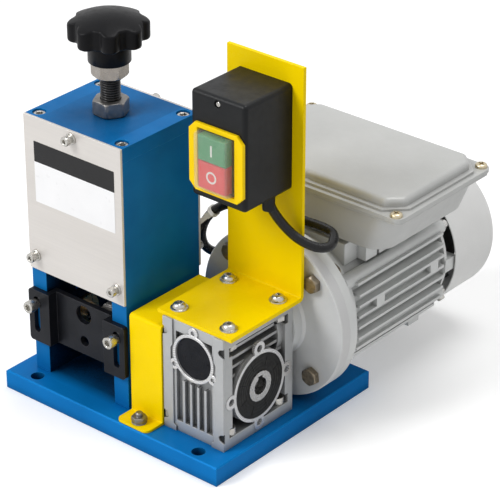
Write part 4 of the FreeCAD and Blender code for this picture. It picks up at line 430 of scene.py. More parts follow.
def repeated(name, shape, places, finish, seed, largest_turn=math.tau):
    """One mesh with the shape at every place, its own +Z along that place's facing."""
    spots = bpy.data.meshes.new(name + "_places")
    spots.from_pydata([place for place, facing in places], [], [])
    spots.attributes.new("facing", "FLOAT_VECTOR", "POINT")
    for entry, (place, facing) in zip(spots.attributes["facing"].data, places):
        entry.vector = facing
    part = bpy.data.objects.new(name + "_part", smoothed(shape, name + "_part"))
    bpy.context.scene.collection.objects.link(part)
    mesh = made_by(set_in_place, spots,
                   {"Part": part, "Finish": finish, "Largest Turn": largest_turn, "Seed": seed})
    bpy.data.objects.remove(part)
    mesh.name = name
    return mesh


def cap_screw(thread, head, length, socket, washer=0.0):
    top = washer + thread
    grip = knurled(head / 2, 30, 0.00014)
    return turned([
        (thread * 0.38, -length), (thread / 2, -length + thread * 0.12), (thread / 2, washer),
        (head / 2 - 0.0003, washer), (grip, washer + 0.0003), (grip, top - 0.0008),
        (head / 2 - 0.0003, top - 0.0002), (head / 2 - 0.0007, top), (socket * 0.62, top),
        (hexagonal(socket), top - 0.0003), (hexagonal(socket), top - thread * 0.5),
        (socket * 0.1, top - thread * 0.56)], steps=60)


UP, DOWN, FRONT, BACK = (0, 0, 1), (0, 0, -1), (0, -1, 0), (0, 1, 0)
nickel = new_finish("nickel_plated", (0.56, 0.55, 0.52), 1, 0.26)
mottle(nickel, grain(nickel, 0.002), 0.5, (0.38, 0.36, 0.33))
roughen(nickel, grain(nickel, 0.003), 0.2, 0.38)
emboss(nickel, grain(nickel, 0.0005), 0.00002)
post_middles = (-0.0885, -0.0035)
top_places = [((x, y, 0.233), UP) for x in post_middles for y in (-0.065, 0.003)]
fit("top_cap_screws",
    repeated("top_cap_screws", cap_screw(0.006, 0.010, 0.020, 0.005), top_places, nickel, 3),
    nickel, "frame", "screw_steel", "top_plate_screws")
post_places = [((x, y, 0.007), DOWN) for x in post_middles for y in (-0.057, -0.005)]
foot_places = [((x, y, 0.025), UP) for x in (0.046, 0.095) for y in (-0.0595, -0.0025)]
fit("base_cap_screws",
    repeated("base_cap_screws", cap_screw(0.006, 0.010, 0.017, 0.005), post_places + foot_places,
             nickel, 5),
    nickel, "frame", "screw_steel", "base_screws")


# The covers in front of and behind the tower are 2 mm aluminium sheet, brushed along their width
# and clear anodised, with bright cut edges.
clear_anodised = new_finish("clear_anodised", (0.64, 0.61, 0.58), 0.35, 0.45)
mottle(clear_anodised, grain(clear_anodised, 0.03, (0.3, 1, 1), 4), 0.6, (0.72, 0.69, 0.66))
mottle(clear_anodised, grain(clear_anodised, 0.0012, (0.02, 1, 1)), 0.14, (0.50, 0.48, 0.46))
soften(clear_anodised, 0.0005, (0.86, 0.85, 0.83))
roughen(clear_anodised, grain(clear_anodised, 0.0015, (0.03, 1, 1)), 0.36, 0.52)
emboss(clear_anodised, grain(clear_anodised, 0.0006, (0.02, 1, 1)), 0.00001)
coat(clear_anodised, "front_cover", "rear_cover")


# The front cover has a bare label: a sheet of white film with rounded corners and a black strip
# along its top, stuck on.
def rounded_plate(width, height, corner, depth, edge=0.0):
    """A flat plate with rounded corners, centred on z = 0, that stands up in +Z."""
    shape = bmesh.new()
    outline = []
    for side, end, start in ((1, 1, 0), (-1, 1, 90), (-1, -1, 180), (1, -1, 270)):
        for step in range(7):
            angle = math.radians(start + 15 * step)
            outline.append((side * (width / 2 - corner), end * (height / 2 - corner),
                            math.cos(angle), math.sin(angle)))
    rings = []
    for inset, rise in ((0, 0), (0, depth - edge), (edge, depth)) if edge else ((0, 0), (0, depth)):
        rings.append([shape.verts.new((x + (corner - inset) * across, y + (corner - inset) * along,
                                       rise))
                      for x, y, across, along in outline])
    shape.faces.new(rings[0])
    shape.faces.new(rings[-1])
    for lower, upper in zip(rings, rings[1:]):
        for step in range(len(outline)):
            shape.faces.new((lower[step], lower[step - 1], upper[step - 1], upper[step]))
    bmesh.ops.recalc_face_normals(shape, faces=shape.faces)
    return shape


label_film = new_finish("label_film", (0.86, 0.86, 0.87), 0, 0.34, 0.3)
mottle(label_film, grain(label_film, 0.02), 0.5, (0.80, 0.80, 0.81))
tint(label_film, within(label_film, axis_of(label_film, "Z"), 0.2115, 0.0087),
     (0.006, 0.006, 0.007))
roughen(label_film, grain(label_film, 0.006), 0.26, 0.42)
emboss(label_film, grain(label_film, 0.003), 0.00003)
label = placed(rounded_plate(0.083, 0.0515, 0.0006, 0.00018), (-0.0445, -0.075, 0.19425), FRONT)
fit("bare_label", smoothed(label, "bare_label"), label_film, "frame", "silver_cover")


# Six small cap screws, nickel plated, hold the covers: two low and one high on each. Each has a
# shouldered washer under its head.
cover_spots = [(x, 0.1205) for x in post_middles] + [(-0.046, 0.234)]
cover_places = [((x, -0.075, z), FRONT) for x, z in cover_spots]
cover_places += [((x, 0.013, z), BACK) for x, z in cover_spots]
washer = turned([(0.0022, 0), (0.0044, 0), (0.0047, 0.0003), (0.0047, 0.0013), (0.0044, 0.0016),
                 (0.0031, 0.0016),
                 (0.0031, 0.0036), (0.0022, 0.0036)], bored=True)
fit("cover_cap_screws",
    repeated("cover_cap_screws", joined(washer, cap_screw(0.0044, 0.0078, 0.009, 0.0032, 0.0036)),
             cover_places, nickel, 7),
    nickel, "frame", "screw_steel", "cover_screws")


# The wire guide is a cranked steel plate, blacked and oiled, with a large and a small wire hole.
# It slides on two cap screws, each with a bright sleeve under its head.
blacked_steel = new_finish("blacked_steel", (0.010, 0.011, 0.014), 0.4, 0.36, 0.2)
mottle(blacked_steel, grain(blacked_steel, 0.02, detail=5), 0.7, (0.020, 0.021, 0.026))
soften(blacked_steel, 0.0005, (0.12, 0.12, 0.13), 0.6)
roughen(blacked_steel, grain(blacked_steel, 0.006, detail=5), 0.28, 0.46)
emboss(blacked_steel, grain(blacked_steel, 0.0006), 0.00002)
coat(blacked_steel, "guide_plate")

guide_places = [((x, -0.0777, 0.0785), FRONT) for x in post_middles]
sleeve = turned([(0.0031, 0), (0.0040, 0), (0.00425, 0.0003), (0.00425, 0.0037), (0.0040, 0.004),
                 (0.0031, 0.004)], bored=True)
fit("guide_cap_screws",
    repeated("guide_cap_screws", joined(sleeve, cap_screw(0.006, 0.010, 0.0165, 0.005, 0.004)),
             guide_places, nickel, 2),
    nickel, "frame", "screw_steel", "guide_screws")


# Inside the tower a block of bare aluminium slides up and down. It carries a ground tool steel
# blade on a bolt, and hangs on the spindle's collar under a steel retainer.
def rings_about(finish, axis, centre, pitch):
    """Turning marks: fine rings round an axis through the centre."""
    tree = finish.node_tree
    place = tree.nodes.new("ShaderNodeTexCoord")
    shift = tree.nodes.new("ShaderNodeMapping")
    shift.inputs["Location"].default_value = [-side for side in centre]
    wave = tree.nodes.new("ShaderNodeTexWave")
    wave.wave_type = "RINGS"
    wave.rings_direction = axis
    wave.inputs["Scale"].default_value = math.tau / 20 / pitch
    wave.inputs["Distortion"].default_value = 0.6
    tree.links.new(place.outputs["Object"], shift.inputs["Vector"])
    tree.links.new(shift.outputs["Vector"], wave.inputs["Vector"])
    return wave.outputs["Fac"]


milled_aluminium = new_finish("milled_aluminium", (0.60, 0.61, 0.62), 0.9, 0.34)
mottle(milled_aluminium, grain(milled_aluminium, 0.01), 0.5, (0.5, 0.5, 0.5))
soften(milled_aluminium, 0.0004, (0.75, 0.75, 0.75))
roughen(milled_aluminium, grain(milled_aluminium, 0.001, (0.05, 1, 1)), 0.26, 0.44)
emboss(milled_aluminium, grain(milled_aluminium, 0.0006, (0.03, 1, 1)), 0.00002)
coat(milled_aluminium, "blade_carrier")

blade_centre = (-0.046, -0.031, 0.1175)
ground_blade = new_finish("ground_blade", (0.62, 0.62, 0.63), 1, 0.2)
mottle(ground_blade, grain(ground_blade, 0.004), 0.4, (0.42, 0.41, 0.40))
roughen(ground_blade, rings_about(ground_blade, "X", blade_centre, 0.0007), 0.16, 0.3)
emboss(ground_blade, rings_about(ground_blade, "X", blade_centre, 0.0004), 0.00001)
coat(ground_blade, "cutting_blade")

bright_steel = new_finish("bright_steel", (0.60, 0.59, 0.58), 1, 0.25)
mottle(bright_steel, grain(bright_steel, 0.003), 0.5, (0.42, 0.41, 0.39))
soften(bright_steel, 0.0003, (0.8, 0.8, 0.8))
roughen(bright_steel, grain(bright_steel, 0.003), 0.2, 0.36)
emboss(bright_steel, grain(bright_steel, 0.0005), 0.00002)
coat(bright_steel, "blade_axle", "spindle_retainer")


# The spindle is black oxide steel with a coarse thread, cut along its whole length above the
# collar.
def thread_tree():
    tree = bpy.data.node_groups.new("screw_thread", "GeometryNodeTree")
    for label, kind in (("Places", "Geometry"), ("Radius", "Float"), ("Pitch", "Float"),
                        ("Turns", "Float"), ("Ridge", "Float"), ("Finish", "Material")):
        tree.interface.new_socket(label, in_out="INPUT", socket_type="NodeSocket" + kind)
    tree.interface.new_socket("Thread", in_out="OUTPUT", socket_type="NodeSocketGeometry")
    given = tree.nodes.new("NodeGroupInput")
    rise = tree.nodes.new("ShaderNodeMath")
    rise.operation = "MULTIPLY"
    helix = tree.nodes.new("GeometryNodeCurveSpiral")
    helix.inputs["Resolution"].default_value = 24
    upright = tree.nodes.new("GeometryNodeSetCurveNormal")
    upright.mode = "Z_UP"
    ridge = tree.nodes.new("GeometryNodeCurvePrimitiveCircle")
    ridge.inputs["Resolution"].default_value = 4
    swept = tree.nodes.new("GeometryNodeCurveToMesh")
    swept.inputs["Fill Caps"].default_value = True
    put = tree.nodes.new("GeometryNodeInstanceOnPoints")
    real = tree.nodes.new("GeometryNodeRealizeInstances")
    coated = tree.nodes.new("GeometryNodeSetMaterial")
    result = tree.nodes.new("NodeGroupOutput")
    for start, end in ((given.outputs["Pitch"], rise.inputs[0]),
                       (given.outputs["Turns"], rise.inputs[1]),
                       (given.outputs["Turns"], helix.inputs["Rotations"]),
                       (given.outputs["Radius"], helix.inputs["Start Radius"]),
                       (given.outputs["Radius"], helix.inputs["End Radius"]),
                       (rise.outputs["Value"], helix.inputs["Height"]),
                       (given.outputs["Ridge"], ridge.inputs["Radius"]),
                       (helix.outputs["Curve"], upright.inputs["Curve"]),
                       (upright.outputs["Curve"], swept.inputs["Curve"]),
                       (ridge.outputs["Curve"], swept.inputs["Profile Curve"]),
                       (given.outputs["Places"], put.inputs["Points"]),
                       (swept.outputs["Mesh"], put.inputs["Instance"]),
                       (put.outputs["Instances"], real.inputs["Geometry"]),
                       (real.outputs["Geometry"], coated.inputs["Geometry"]),
                       (given.outputs["Finish"], coated.inputs["Material"]),
                       (coated.outputs["Geometry"], result.inputs["Thread"])):
        tree.links.new(start, end)
    return tree


spindle_at = (-0.046, -0.031, 0)
black_oxide = new_finish("black_oxide", (0.020, 0.020, 0.022), 0.6, 0.34)
mottle(black_oxide, grain(black_oxide, 0.004), 0.6, (0.05, 0.048, 0.046))
soften(black_oxide, 0.0002, (0.22, 0.22, 0.22), 0.7)
roughen(black_oxide, grain(black_oxide, 0.003), 0.26, 0.44)
emboss(black_oxide, grain(black_oxide, 0.0005), 0.00002)
spindle_core = turned([(0.0105, 0.16405), (0.0110, 0.1646), (0.0110, 0.1714), (0.0105, 0.17195),
                       (0.0070, 0.17195),
                       (0.0070, 0.3065), (0.0060, 0.3075)], steps=40)
fit("spindle_core", smoothed(placed(spindle_core, spindle_at), "spindle_core"), black_oxide,
    "knob_and_spindle", "black_steel", "spindle")
thread_start = bpy.data.meshes.new("thread_start")
thread_start.from_pydata([(spindle_at[0], spindle_at[1], 0.175)], [], [])
thread_mesh = made_by(thread_tree(), thread_start,
                      {"Radius": 0.0070, "Pitch": 0.002, "Turns": 62.0, "Ridge": 0.00098,
                       "Finish": black_oxide})
fit("spindle_thread", thread_mesh, black_oxide, "knob_and_spindle", "black_steel")


# Two thick hexagon nuts are on the spindle, bevelled at both ends: the dull one locks it on the
# top plate, and the bright one is jammed against the knob.
def spindle_nut(bottom, turn):
    flats, height = 0.025, 0.012
    shape = turned([
        (0.0082, bottom), (0.0088, bottom), (flats / 2 * 0.96, bottom),
        (hexagonal(flats, flats * 0.535), bottom + 0.0005),
        (hexagonal(flats, flats * 0.56), bottom + 0.0010), (hexagonal(flats), bottom + 0.0016),
        (hexagonal(flats), bottom + height - 0.0016),
        (hexagonal(flats, flats * 0.56), bottom + height - 0.0010),
        (hexagonal(flats, flats * 0.535), bottom + height - 0.0005),
        (flats / 2 * 0.96, bottom + height),
        (0.0088, bottom + height), (0.0082, bottom + height)], steps=72, bored=True)
    return placed(shape, spindle_at, turn=math.radians(turn))


dull_steel = new_finish("dull_steel", (0.26, 0.25, 0.24), 0.9, 0.36)
mottle(dull_steel, grain(dull_steel, 0.006, detail=5), 0.7, (0.16, 0.15, 0.145))
soften(dull_steel, 0.0003, (0.5, 0.5, 0.49), 0.8)
roughen(dull_steel, grain(dull_steel, 0.004, detail=5), 0.28, 0.48)
emboss(dull_steel, grain(dull_steel, 0.0007), 0.00003)
fit("lock_nut_turned", smoothed(spindle_nut(0.2401, 27), "lock_nut_turned", 0.4), dull_steel,
    "spindle_lock", "black_steel", "lock_nut")
nut_zinc = new_finish("nut_zinc", (0.36, 0.33, 0.30), 0.95, 0.24)
mottle(nut_zinc, grain(nut_zinc, 0.006), 0.5, (0.26, 0.235, 0.21))
soften(nut_zinc, 0.0003, (0.75, 0.74, 0.72), 0.8)
roughen(nut_zinc, grain(nut_zinc, 0.004), 0.2, 0.36)
emboss(nut_zinc, grain(nut_zinc, 0.0007), 0.00003)
fit("jam_nut_turned", smoothed(spindle_nut(0.271, 12), "jam_nut_turned", 0.4), nut_zinc,
    "knob_and_spindle", "screw_steel", "knob_jam_nut")


# The star knob is moulded in black phenolic, with a round hub, eight smooth lobes and a domed
# top.
def star(shrink):
    """The knob's outline: a round core blended into eight round lobes."""
    core, lobe, lobe_at, blend = 0.0262 - shrink, 0.0068 - shrink * 0.8, 0.0242, 0.0024

    def reach(angle):
        off = (angle - math.pi / 2 + math.pi / 8) % (math.pi / 4) - math.pi / 8
        under = lobe ** 2 - (lobe_at * math.sin(off)) ** 2
        far = lobe_at * math.cos(off) + math.sqrt(under) if under > 0 else lobe_at * math.cos(off)
        near = max(blend - abs(core - far), 0) ** 2 / (4 * blend)
        return min(max(core, far) + near, 0.031 - shrink)
    return reach


knob_levels = [(0.0135, 0.283), (0.0160, 0.283), (0.0165, 0.2835), (0.0165, 0.2975),
               (0.0170, 0.2990), (0.0182, 0.2999), (0.0200, 0.3000)]
for step in range(6):
    angle = math.radians(18 * step)
    knob_levels.append((star(0.0025 * (1 - math.sin(angle))),
                        0.3000 + 0.0025 * (1 - math.cos(angle))))
knob_levels.append((star(0), 0.3126))
for step in range(1, 5):
    angle = math.radians(22.5 * step)
    knob_levels.append((star(0.0014 * (1 - math.cos(angle))), 0.3126 + 0.0014 * math.sin(angle)))
for step in range(1, 12):
    knob_levels.append((lambda angle, share=1 - step / 12: star(0.0014)(angle) * share, 0.3140))
knob = turned(knob_levels, steps=160)
for corner in knob.verts:
    if corner.co.z > 0.3125:
        corner.co.z += 0.008 * (1 - corner.co.xy.length_squared / 0.031 ** 2)
phenolic = new_finish("black_phenolic", (0.005, 0.005, 0.006), 0, 0.32, 0.1)
mottle(phenolic, grain(phenolic, 0.012, detail=4), 0.5, (0.009, 0.009, 0.010))
roughen(phenolic, grain(phenolic, 0.005, detail=5), 0.27, 0.42)
emboss(phenolic, grain(phenolic, 0.0009), 0.00004)
fit("star_knob", smoothed(placed(knob, spindle_at), "star_knob", 0.9), phenolic,
    "knob_and_spindle", "knob_plastic", "adjusting_knob")


# The roller shaft turns in two flanged bronze bushes. Between the posts it carries the feed
# roller: hardened steel with straight knurling, keyed on.
shaft_axis = (0, -0.031, 0.056)
bronze = new_finish("bronze", (0.52, 0.34, 0.15), 1, 0.3)
mottle(bronze, grain(bronze, 0.004), 0.6, (0.36, 0.22, 0.10))
roughen(bronze, grain(bronze, 0.003), 0.25, 0.42)
emboss(bronze, rings_about(bronze, "X", shaft_axis, 0.0005), 0.00001)
coat(bronze, "shaft_bushes", "worm_wheel")
coat(bright_steel, "drive_shaft")
ridges = knurled(0.015, 60, 0.0007)
roller = turned([(0.0071, -0.012), (0.0138, -0.012), (ridges, -0.0110), (ridges, 0.0110),
                 (0.0138, 0.012), (0.0071, 0.012)], steps=120, bored=True)
hardened = new_finish("hardened_steel", (0.34, 0.33, 0.32), 1, 0.3)
mottle(hardened, grain(hardened, 0.003), 0.6, (0.2, 0.19, 0.18))
roughen(hardened, grain(hardened, 0.002), 0.24, 0.42)
emboss(hardened, grain(hardened, 0.0005), 0.00002)
fit("knurled_roller",
    smoothed(placed(roller, (-0.046, -0.031, 0.056), (1, 0, 0)), "knurled_roller"), hardened,
    "feed", "ground_steel", "feed_roller")


# The gearbox is cast in aluminium and sprayed silver grey: a rough skin, and brighter where its
# faces are machined. Its corners, and the slots at its foot screws, are painted dark as painted
# shade.
cast_grey = new_finish("cast_grey", (0.47, 0.48, 0.485), 0.25, 0.42, 0.4)
mottle(cast_grey, grain(cast_grey, 0.02, detail=5), 0.7, (0.40, 0.41, 0.415))
# Painted shade: the grey goes darker in corners, where little light reaches.
tint(cast_grey, painted_corner_shade(cast_grey, 0.011, 0.85), (0.07, 0.07, 0.07))
# Painted shade: near black squares on the housing behind the columns' slots stand for the shade
# inside them.
painted_slot_shade = both(cast_grey, within(cast_grey, axis_of(cast_grey, "Y"), -0.071, 0.0003),
                within(cast_grey, axis_of(cast_grey, "X"), 0.0980, 0.0028))
for height in (0.0270, 0.1015):
    tint(cast_grey,
         both(cast_grey, painted_slot_shade, within(cast_grey, axis_of(cast_grey, "Z"), height, 0.0042)),
         (0.02, 0.02, 0.02))
soften(cast_grey, 0.0008, (0.66, 0.66, 0.66), 0.8)
roughen(cast_grey, grain(cast_grey, 0.005, detail=5), 0.34, 0.52)
emboss(cast_grey, grain(cast_grey, 0.0011, detail=4), 0.0001)
emboss(cast_grey, grain(cast_grey, 0.006, detail=2), 0.00015)
coat(cast_grey, "gearbox_housing")

machined = new_finish("machined_face", (0.66, 0.66, 0.67), 0.6, 0.32)
mottle(machined, grain(machined, 0.006), 0.5, (0.56, 0.56, 0.56))
soften(machined, 0.0004, (0.8, 0.8, 0.8))
roughen(machined, rings_about(machined, "X", shaft_axis, 0.0011), 0.26, 0.4)
emboss(machined, rings_about(machined, "X", shaft_axis, 0.0006), 0.000012)
coat(machined, "output_cover")


# The housing's front corners are raised columns, cast with it, with slots at the foot screws.
# The dark of the slots is painted shade in the housing's finish, and no hole is cut behind them.
def slab(outline, depth):
    """A flat shape of this outline that stands up in +Z."""
    shape = bmesh.new()
    low = [shape.verts.new((x, y, 0)) for x, y in outline]
    high = [shape.verts.new((x, y, depth)) for x, y in outline]
    shape.faces.new(low)
    shape.faces.new(high)
    for step in range(len(outline)):
        shape.faces.new((low[step], low[step - 1], high[step - 1], high[step]))
    bmesh.ops.recalc_face_normals(shape, faces=shape.faces)
    return shape


column = [(0.0300, -0.0485), (0.0300, -0.0415), (0.0262, -0.0400), (0.0248, -0.0375),
          (0.0262, -0.0350), (0.0300, -0.0335),
          (0.0300, 0.0330), (0.0262, 0.0345), (0.0248, 0.0370), (0.0262, 0.0395), (0.0300, 0.0410),
          (0.0300, 0.0485),
          (0.0205, 0.0485), (0.0205, 0.0270), (0.0225, 0.0240), (0.0225, 0.0120), (0.0205, 0.0080),
          (0.0205, -0.0430),
          (0.0180, -0.0445), (0.0180, -0.0485)]
columns = joined(slab(column, 0.0014), slab([(-x, z) for x, z in column], 0.0014))
fit("front_columns",
    smoothed(placed(columns, (0.0705, -0.0710, 0.0645), FRONT), "front_columns", 0.3), cast_grey,
    "frame", "gearbox_grey")


# A ring with three bored ears stands round the worm's bore, in front of the columns. It is cast
# with the housing and turned bright.
ring_shape = turned([(0.0176, 0), (0.0202, 0), (0.0202, 0.0010), (0.0199, 0.0013), (0.0179, 0.0013),
                     (0.0176, 0.0010)],
                    steps=96, bored=True)
ring_ears = [turned([(0.0020, 0), (0.0045, 0), (0.0045, 0.0008), (0.0042, 0.0011),
                     (0.0020, 0.0011)], steps=40, bored=True)
             for ear in range(3)]
for ear, degrees in zip(ring_ears, (90, 210, 330)):
    angle = math.radians(degrees)
    placed(ear, (0.0222 * math.cos(angle), 0.0222 * math.sin(angle), 0))
front_ring = placed(joined(ring_shape, *ring_ears), (0.0705, -0.0712, 0.086), FRONT)
fit("worm_bore_ring", smoothed(front_ring, "worm_bore_ring"), machined, "frame", "gearbox_grey")


# A black lip seal closes the housing round the hollow shaft on each side, moulded with eight
# ribs. Bearings, worm and worm wheel lie inside.
seal_rubber = new_finish("seal_rubber", (0.008, 0.008, 0.008), 0, 0.5, 0.2)
mottle(seal_rubber, grain(seal_rubber, 0.004), 0.6, (0.018, 0.018, 0.017))
roughen(seal_rubber, grain(seal_rubber, 0.003), 0.4, 0.6)
emboss(seal_rubber, rings_about(seal_rubber, "X", shaft_axis, 0.0028), 0.0001)
coat(seal_rubber, "output_seals")
rib = placed(rounded_plate(0.0009, 0.0009, 0.0003, 0.0072), (0, 0, 0))
rib_places = []
for face, out in ((0.1009, 1), (0.0401, -1)):
    for step in range(8):
        angle = math.tau * (step + 0.5) / 8
        around = (0, math.cos(angle), math.sin(angle))
        rib_places.append(((face, -0.031 + 0.0165 * around[1], 0.056 + 0.0165 * around[2]), around))
fit("seal_ribs", repeated("seal_ribs", rib, rib_places, seal_rubber, 1, 0.0), seal_rubber, "frame",
    "seal_rubber")
hollow_steel = new_finish("hollow_shaft_steel", (0.5, 0.5, 0.5), 1, 0.26)
mottle(hollow_steel, grain(hollow_steel, 0.003), 0.5, (0.33, 0.32, 0.31))
soften(hollow_steel, 0.0003, (0.8, 0.8, 0.8))
roughen(hollow_steel, grain(hollow_steel, 0.002), 0.2, 0.36)
emboss(hollow_steel, rings_about(hollow_steel, "X", shaft_axis, 0.0005), 0.00001)
coat(hollow_steel, "hollow_output_shaft")
motor_axis = (0.0705, 0, 0.086)
worm_steel = new_finish("worm_steel", (0.45, 0.45, 0.46), 1, 0.24)
mottle(worm_steel, grain(worm_steel, 0.003), 0.5, (0.3, 0.3, 0.3))
roughen(worm_steel, grain(worm_steel, 0.003), 0.18, 0.34)
emboss(worm_steel, rings_about(worm_steel, "Y", motor_axis, 0.0005), 0.00001)
coat(worm_steel, "worm_shaft", "motor_shaft", "gearbox_bearings", "motor_bearings",
     "input_flange_screws")


# A black cap, pressed from sheet and coated with rubber, closes the worm's bore in front. It is
# pushed into the bore.
cap_black = new_finish("cap_black", (0.005, 0.006, 0.009), 0, 0.34, 0.1)
mottle(cap_black, grain(cap_black, 0.008), 0.6, (0.016, 0.017, 0.021))
soften(cap_black, 0.0004)
roughen(cap_black, grain(cap_black, 0.004), 0.26, 0.42)
emboss(cap_black, rings_about(cap_black, "Y", motor_axis, 0.0022), 0.00004)
coat(cap_black, "worm_end_cap")


# The gearbox and the motor meet in two round flanges of cast aluminium, turned on their rims and
# painted.
def out_from(finish, axis, centre):
    """Distance from an axis through the centre."""
    tree = finish.node_tree
    place = tree.nodes.new("ShaderNodeTexCoord")
    shift = tree.nodes.new("ShaderNodeVectorMath")
    shift.operation = "SUBTRACT"
    shift.inputs[1].default_value = centre
    flatten = tree.nodes.new("ShaderNodeVectorMath")
    flatten.operation = "MULTIPLY"
    flatten.inputs[1].default_value = [0 if side == axis else 1 for side in "XYZ"]
    length = tree.nodes.new("ShaderNodeVectorMath")
    length.operation = "LENGTH"
    tree.links.new(place.outputs["Object"], shift.inputs[0])
    tree.links.new(shift.outputs["Vector"], flatten.inputs[0])
    tree.links.new(flatten.outputs["Vector"], length.inputs[0])
    return length.outputs["Value"]


flange_cast = new_finish("flange_cast", (0.64, 0.65, 0.65), 0.1, 0.42, 0.3)
mottle(flange_cast, grain(flange_cast, 0.02, detail=5), 0.7, (0.57, 0.58, 0.58))
tint(flange_cast,
     spread_over(flange_cast, out_from(flange_cast, "Y", motor_axis), 0, 1, 0.0688, 0.0691),
     (0.60, 0.60, 0.60))
# Painted shade: darker grey in corners.
tint(flange_cast, painted_corner_shade(flange_cast, 0.006, 0.5), (0.16, 0.16, 0.16))
soften(flange_cast, 0.0006, (0.72, 0.72, 0.72), 0.8)
roughen(flange_cast, grain(flange_cast, 0.005, detail=5), 0.34, 0.5)
emboss(flange_cast, grain(flange_cast, 0.0012, detail=4), 0.00007)
emboss(flange_cast, rings_about(flange_cast, "Y", motor_axis, 0.0009), 0.000015)
coat(flange_cast, "input_flange")


# Four hexagon bolts with nuts draw the flanges together. They are zinc plated steel, and the
# plating has gone brown.
def hexagon_bolt(flats, thread, head, length, nut_from, nut_to):
    bevel = flats * 0.53
    return turned([
        (thread * 0.4, -length), (thread / 2, -length + thread * 0.1), (thread / 2, -nut_to),
        (flats * 0.47, -nut_to), (hexagonal(flats, bevel), -nut_to + 0.0005),
        (hexagonal(flats), -nut_to + 0.0012),
        (hexagonal(flats), -nut_from), (thread / 2, -nut_from), (thread / 2, 0),
        (hexagonal(flats), 0),
        (hexagonal(flats), head - 0.0012), (hexagonal(flats, bevel), head - 0.0005),
        (flats * 0.47, head),
        (flats * 0.2, head - 0.0001)], steps=48)


brown_zinc = new_finish("brown_zinc", (0.27, 0.23, 0.17), 0.85, 0.36)
mottle(brown_zinc, grain(brown_zinc, 0.003, detail=5), 0.8, (0.15, 0.12, 0.085))
soften(brown_zinc, 0.0003, (0.45, 0.42, 0.36), 0.8)
roughen(brown_zinc, grain(brown_zinc, 0.003), 0.28, 0.48)
emboss(brown_zinc, grain(brown_zinc, 0.0006), 0.00003)
flange_places = [((0.0705 + across * 0.04066, 0.020, 0.086 + up * 0.04066),
                  FRONT) for across in (-1, 1) for up in (-1, 1)]
fit("flange_hex_bolts",
    repeated("flange_hex_bolts", hexagon_bolt(0.013, 0.008, 0.0052, 0.0275, 0.0195, 0.0259),
             flange_places, brown_zinc, 4),
    brown_zinc, "frame", "screw_steel", "flange_bolts")


# The motor is a die cast aluminium shell with cooling fins, between two end shields, painted
# silver grey with a fine orange peel.
motor_paint = new_finish("motor_paint", (0.68, 0.69, 0.68), 0.1, 0.38, 0.4)
mottle(motor_paint, grain(motor_paint, 0.03, detail=5), 0.7, (0.61, 0.62, 0.615))
# Painted shade: darker grey in corners and between the fins.
tint(motor_paint, painted_corner_shade(motor_paint, 0.006, 0.55), (0.16, 0.16, 0.155))
soften(motor_paint, 0.0006, (0.62, 0.62, 0.61), 0.7)
roughen(motor_paint, grain(motor_paint, 0.006, detail=5), 0.32, 0.48)
emboss(motor_paint, grain(motor_paint, 0.0013), 0.00009)
coat(motor_paint, "motor_front_shield", "motor_housing", "motor_rear_shield")
coat(bright_steel, "tie_bolts")


# Inside it, laminated steel carries the copper windings, and a cast cage runs in the middle.
laminations = new_finish("laminations", (0.13, 0.12, 0.11), 0.8, 0.5)
mottle(laminations, grain(laminations, 0.0005, (0.1, 1, 0.1)), 0.7, (0.28, 0.26, 0.24))
roughen(laminations, grain(laminations, 0.003), 0.4, 0.6)
emboss(laminations, grain(laminations, 0.0005, (0.05, 1, 0.05)), 0.00006)
coat(laminations, "rotor")
windings = laminations.copy()
windings.name = "laminations_and_windings"
for middle in (0.069, 0.146):
    tint(windings, within(windings, axis_of(windings, "Y"), middle, 0.0059), (0.55, 0.22, 0.07))
coat(windings, "stator")
fan_plastic = new_finish("fan_plastic", (0.02, 0.02, 0.02), 0, 0.5)
mottle(fan_plastic, grain(fan_plastic, 0.01), 0.6, (0.05, 0.048, 0.045))
roughen(fan_plastic, grain(fan_plastic, 0.003), 0.4, 0.6)
emboss(fan_plastic, grain(fan_plastic, 0.0008), 0.00004)
coat(fan_plastic, "fan")


# The fan's cowl is deep drawn steel sheet, painted, with slots behind. Four pan head screws with
# cross recesses hold it on the rear shield.
def pan_screw(thread, head, height, length):
    def cross(angle):
        off = (angle + math.pi / 4) % (math.pi / 2) - math.pi / 4
        return min(head * 0.27 / math.cos(off), head * 0.07 / max(abs(math.sin(off)), 0.001))
    return turned([
        (thread * 0.35, -length), (thread / 2, -length + thread * 0.2), (thread / 2, 0),
        (head * 0.5, 0),
        (head * 0.5, height * 0.3), (head * 0.485, height * 0.55), (head * 0.44, height * 0.8),
        (head * 0.37, height * 0.95), (head * 0.3, height), (cross, height - 0.00005),
        (cross, height * 0.45), (head * 0.03, height * 0.3)], steps=64)


cowl_paint = new_finish("cowl_paint", (0.77, 0.77, 0.76), 0.1, 0.36, 0.4)
mottle(cowl_paint, grain(cowl_paint, 0.03, detail=5), 0.6, (0.71, 0.71, 0.70))
soften(cowl_paint, 0.0004, (0.7, 0.7, 0.7), 0.5)
roughen(cowl_paint, grain(cowl_paint, 0.006, detail=5), 0.3, 0.44)
emboss(cowl_paint, grain(cowl_paint, 0.0014), 0.00008)
coat(cowl_paint, "fan_cover")
cowl_places = []
for degrees in (45, 135, 225, 315):
    out = (math.cos(math.radians(degrees)), 0, math.sin(math.radians(degrees)))
    cowl_places.append(((0.0705 + 0.05925 * out[0], 0.185, 0.086 + 0.05925 * out[2]), out))
fit("cowl_pan_screws",
    repeated("cowl_pan_screws", pan_screw(0.004, 0.007, 0.0026, 0.007), cowl_places, nickel, 6),
    nickel, "frame", "screw_steel", "fan_cover_screws")


